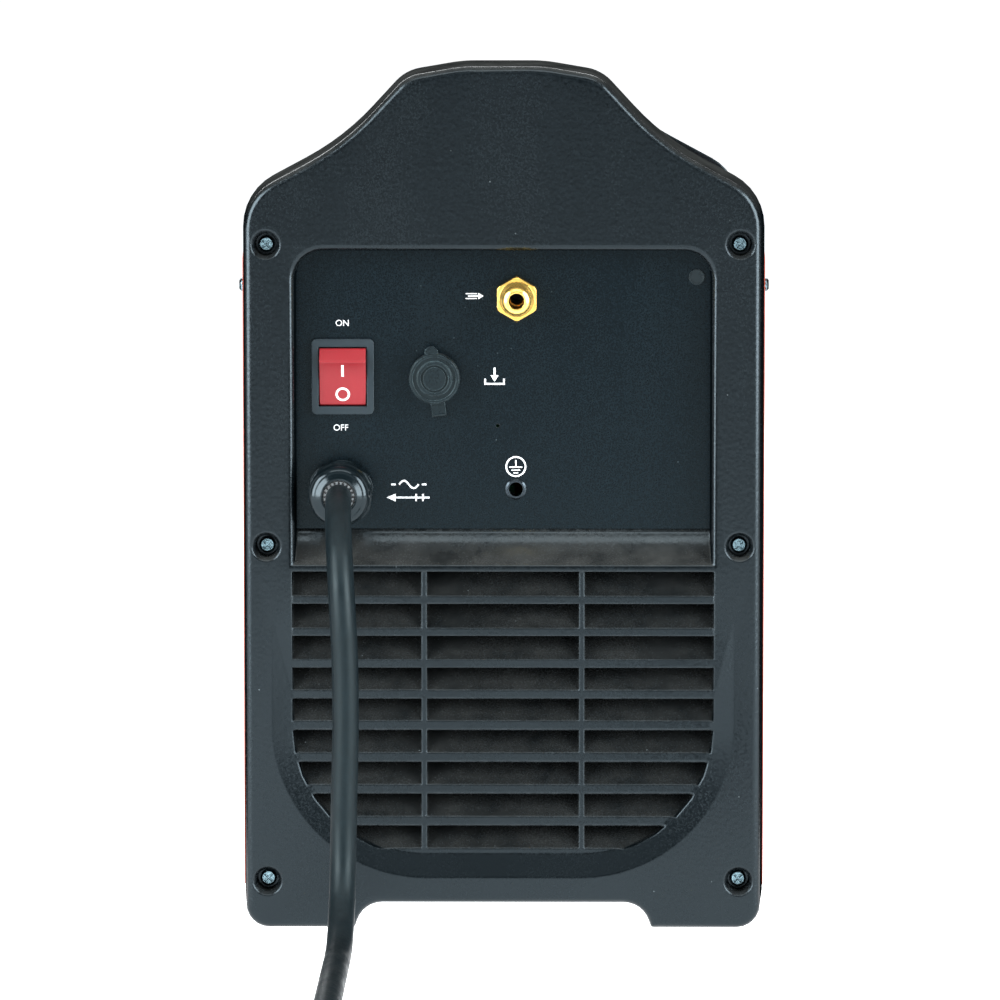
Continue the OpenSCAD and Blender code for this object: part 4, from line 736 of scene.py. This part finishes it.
# ---------------------------------------------------------------- control side
def seven_segment(bm, cx_, cz, h, digit):
    w = h * 0.52
    segs = {"a": ((-w / 2, h / 2), (w / 2, h / 2)), "g": ((-w / 2, 0), (w / 2, 0)), "d": ((-w / 2, -h / 2), (w / 2, -h / 2)),
            "f": ((-w / 2, 0), (-w / 2, h / 2)), "b": ((w / 2, 0), (w / 2, h / 2)), "e": ((-w / 2, -h / 2), (-w / 2, 0)),
            "c": ((w / 2, -h / 2), (w / 2, 0))}
    lit = {"0": "abcdef", "4": "fgbc", "5": "afgcd"}[digit]
    for s in lit:
        (x0, z0), (x1, z1) = segs[s]
        k = h * 0.07
        dx, dz = x1 - x0, z1 - z0
        L = math.hypot(dx, dz)
        ux, uz = dx / L, dz / L
        a, b_ = (x0 + ux * k, z0 + uz * k), (x1 - ux * k, z1 - uz * k)
        t = h * 0.065
        loop = [a, (a[0] + ux * t - uz * t, a[1] + uz * t + ux * t), (b_[0] - ux * t - uz * t, b_[1] - uz * t + ux * t), b_,
                (b_[0] - ux * t + uz * t, b_[1] - uz * t - ux * t), (a[0] + ux * t + uz * t, a[1] + uz * t - ux * t)]
        prism(bm, [(cx_ + p[0] + 0.06 * p[1], cz + p[1]) for p in loop], front, 1.21, 1.27)


bm = bmesh.new()
for i, d in enumerate("045"):
    seven_segment(bm, -13 + 13 * i, 248, 13.5, d)
obj_of("display_digits", bm, M["digit"], "unit")

# scale round the knob, frame lines and plain pictograms on the film
bm = bmesh.new()
F0, F1 = 0.61, 0.66
for i in range(11):
    a = math.radians(225 - 27 * i)
    r0, r1 = 18.6, (21.6 if i % 2 == 0 else 20.4)
    stroke(bm, [(KNOB[0] + r0 * math.cos(a), KNOB[1] + r0 * math.sin(a)), (KNOB[0] + r1 * math.cos(a), KNOB[1] + r1 * math.sin(a))], 0.5, front, F0, F1)
# mode: a continuous cut and a broken (grid) cut
bx, bz = BUTTONS[0]
stroke(bm, [(bx - 7, bz - 11.5), (bx + 7, bz - 11.5)], 0.8, front, F0, F1)
for k in range(4):
    stroke(bm, [(bx - 7 + 3.9 * k, bz - 14.5), (bx - 4.7 + 3.9 * k, bz - 14.5)], 0.8, front, F0, F1)
# air test: three lines and a head
bx, bz = BUTTONS[1]
for k in (-1, 0, 1):
    stroke(bm, [(bx - 6, bz - 13 + 1.6 * k), (bx + (3.6 if k == 0 else 1.2), bz - 13 + 1.6 * k)], 0.55, front, F0, F1)
prism(bm, [(bx + 2.4, bz - 15.2), (bx + 6.0, bz - 13), (bx + 2.4, bz - 10.8)], front, F0 + 0.002, F1 + 0.002)
# lamp pictograms under the four lamps: supply wave, bolt, drop, flame-like arc
lz = 219.6
stroke(bm, [(-24 - 2.6 + 5.2 * i / 16, lz + 1.1 * math.sin(2 * math.pi * i / 16)) for i in range(17)], 0.5, front, F0, F1)
prism(bm, [(-8.9, lz - 0.1), (-7.2, lz + 2.4), (-7.6, lz + 0.5), (-6.6, lz + 0.5), (-8.5, lz - 2.4), (-8.0, lz - 0.1)][::-1], front, F0, F1)
ring(bm, (8, lz), 2.3, 1.75, front, F0, F1, 36)
stroke(bm, [(8, lz), (8, lz + 1.3)], 0.5, front, F0, F1)
stroke(bm, [(8, lz), (9.0, lz - 0.6)], 0.5, front, F0 + 0.002, F1 + 0.002)
prism(bm, [(24 - 2.3, lz - 1.7), (24 + 2.3, lz - 1.7), (24, lz + 2.2)], front, F0, F1)
obj_of("control_marks", bm, M["ink"], "unit")
for i, t in enumerate(("20", "30", "40", "50", "60")):
    a = math.radians(225 - 67.5 * i)
    lettering("scale_%s" % t, t, 2.6, (KNOB[0] + 25.4 * math.cos(a), KNOB[1] + 24.6 * math.sin(a)), "front", M["ink"], "unit", bold=0.05, w=0.64)
# socket marks: a plus by the work socket, a short bar by the torch socket
bm = bmesh.new()
stroke(bm, [(-42 - 2.4, 121), (-42 + 2.4, 121)], 0.9, front, 0.02, 0.08)
stroke(bm, [(-42, 121 - 2.4), (-42, 121 + 2.4)], 0.9, front, 0.022, 0.082)
stroke(bm, [(42 - 2.4, 124), (42 + 2.4, 124)], 0.9, front, 0.02, 0.08)
obj_of("socket_marks", bm, M["ink"], "unit")
# orange line round the control film and pointer of the knob
bm = bmesh.new()


def rounded_loop(hw, z0, z1, r, n=8):
    pts = []
    for cx_, cz, a0 in ((hw - r, z0 + r, -90), (hw - r, z1 - r, 0), (-hw + r, z1 - r, 90), (-hw + r, z0 + r, 180)):
        for i in range(n + 1):
            a = math.radians(a0 + 90 * i / n)
            pts.append((cx_ + r * math.cos(a), cz + r * math.sin(a)))
    return pts


def band(bm, outer, inner, put, w0, w1):
    rows = [[bm.verts.new(put(*p, w)) for p, w in ((a, w0), (a, w1), (b_, w1), (b_, w0))] for a, b_ in zip(outer, inner)]
    k = len(rows)
    for i in range(k):
        a, b_ = rows[i], rows[(i + 1) % k]
        for j in range(4):
            bm.faces.new((a[j], b_[j], b_[(j + 1) % 4], a[(j + 1) % 4]))


band(bm, rounded_loop(77.5, 170.5, 271.5, 4), rounded_loop(76.7, 171.3, 270.7, 3.3), front, F0, F1)
obj_of("film_border", bm, M["ink_orange"], "unit")
bm = bmesh.new()
stroke(bm, [(KNOB[0], KNOB[1] + 4.2), (KNOB[0], KNOB[1] + 12.4)], 1.3, front, 15.92, 16.46)
obj_of("knob_pointer", bm, M["ink"], "current_knob_body")


# ------------------------------------------------------------ stage and light
def pale_floor():
    """Plain white floor, lit so that it glows a little most in front of the unit."""
    m = bpy.data.materials.new("floor_white")
    m.use_nodes = True
    nt = m.node_tree
    b = nt.nodes["Principled BSDF"]
    b.inputs["Base Color"].default_value = (0.60, 0.605, 0.61, 1)
    b.inputs["Roughness"].default_value = 0.9
    b.inputs["Specular IOR Level"].default_value = 0.1
    b.inputs["Emission Color"].default_value = (0.975, 0.99, 1.0, 1)
    tc = nt.nodes.new("ShaderNodeTexCoord")
    d = nt.nodes.new("ShaderNodeVectorMath")
    d.operation = "DISTANCE"
    d.inputs[1].default_value = (0.0, 0.42, 0.0)
    nt.links.new(tc.outputs["Object"], d.inputs[0])
    r = nt.nodes.new("ShaderNodeMapRange")
    r.interpolation_type = "SMOOTHSTEP"
    for k, v in (("From Min", 0.10), ("From Max", 1.0), ("To Min", GLOW), ("To Max", 0.97)):
        r.inputs[k].default_value = v
    nt.links.new(d.outputs["Value"], r.inputs["Value"])
    nt.links.new(r.outputs["Result"], b.inputs["Emission Strength"])
    return m


GLOW = 1.75
bpy.ops.mesh.primitive_plane_add(size=80, location=(0, 0, -0.0002))
floor = bpy.context.object
floor.name = "floor"
floor.data.materials.append(pale_floor())

world = bpy.data.worlds.new("studio")
scene.world = world
world.use_nodes = True
wt = world.node_tree
wt.nodes.clear()
wo = wt.nodes.new("ShaderNodeOutputWorld")
bg = wt.nodes.new("ShaderNodeBackground")
wc = wt.nodes.new("ShaderNodeTexCoord")
sx = wt.nodes.new("ShaderNodeSeparateXYZ")
wt.links.new(wc.outputs["Generated"], sx.inputs[0])
ab = wt.nodes.new("ShaderNodeMath")
ab.operation = "ABSOLUTE"
wt.links.new(sx.outputs["Z"], ab.inputs[0])
wr = wt.nodes.new("ShaderNodeMapRange")
wr.clamp = True
for k, v in (("From Min", 0.012), ("From Max", 0.05), ("To Min", 1.0), ("To Max", 0.0)):
    wr.inputs[k].default_value = v
wt.links.new(ab.outputs[0], wr.inputs["Value"])
wm = wt.nodes.new("ShaderNodeMix")
wm.data_type = "RGBA"
wt.links.new(wr.outputs["Result"], wm.inputs[0])
wm.inputs[6].default_value = (0.05, 0.055, 0.06, 1)
wm.inputs[7].default_value = (1.05, 1.05, 1.05, 1)
wt.links.new(wm.outputs[2], bg.inputs["Color"])
bg.inputs["Strength"].default_value = 1.0
wt.links.new(bg.outputs[0], wo.inputs["Surface"])


def softbox(name, place, target, size, watts, colour=(1, 1, 1)):
    l = bpy.data.lights.new(name, "AREA")
    l.shape = "RECTANGLE"
    l.size, l.size_y = size
    l.energy = watts
    l.color = colour
    o = bpy.data.objects.new(name, l)
    scene.collection.objects.link(o)
    o.location = place
    o.rotation_mode = "QUATERNION"
    o.rotation_quaternion = (Vector(target) - Vector(place)).to_track_quat("-Z", "Y")
    o.visible_camera = False
    return o


softbox("key_above", (0.0, 1.35, 1.75), (0, 0.2, 0.2), (1.5, 0.5), 13, (1.0, 0.99, 0.97))
for side in (-1, 1):
    softbox("side_box_%d" % (side > 0), (1.45 * side, 1.35, 0.74), (0.05 * side, 0.2, 0.2), (1.2, 1.4), 104, (0.97, 0.99, 1.0))
softbox("low_box", (0.0, 2.9, 1.3), (0, 0.2, 0.1), (2.2, 0.8), 5.5, (0.96, 0.99, 1.0))
softbox("fill_front", (0.3, -2.4, 1.5), (0, -0.2, 0.2), (2.2, 1.2), 60, (0.97, 0.99, 1.0))


def black_flag(name, side):
    """A low black board that stands beside the unit, so that its outline stays dark against the white floor."""
    bm = bmesh.new()
    a, b_ = Vector((0.30 * side, 0.16, 0)), Vector((0.50 * side, -2.4, 0))
    t = Vector((0.004 * side, 0, 0))
    lo = [bm.verts.new(p + Vector((0, 0, 0.0005))) for p in (a, b_, b_ + t, a + t)]
    hi = [bm.verts.new(p + Vector((0, 0, 0.34))) for p in (a, b_, b_ + t, a + t)]
    bm.faces.new(lo[::-1])
    bm.faces.new(hi)
    for i in range(4):
        bm.faces.new((lo[i], lo[(i + 1) % 4], hi[(i + 1) % 4], hi[i]))
    o = obj_of(name, bm, M["felt"], None)
    o.visible_camera = False


black_flag("flag_left", 1)
black_flag("flag_right", -1)
sun = bpy.data.lights.new("sky", "SUN")
sun.energy = 0.5
sun.angle = math.radians(75)
so = bpy.data.objects.new("sky", sun)
scene.collection.objects.link(so)
so.rotation_euler = (math.radians(-6), 0, 0)

scene.view_settings.view_transform = "Standard"
scene.view_settings.look = "None"

bpy.context.view_layer.update()
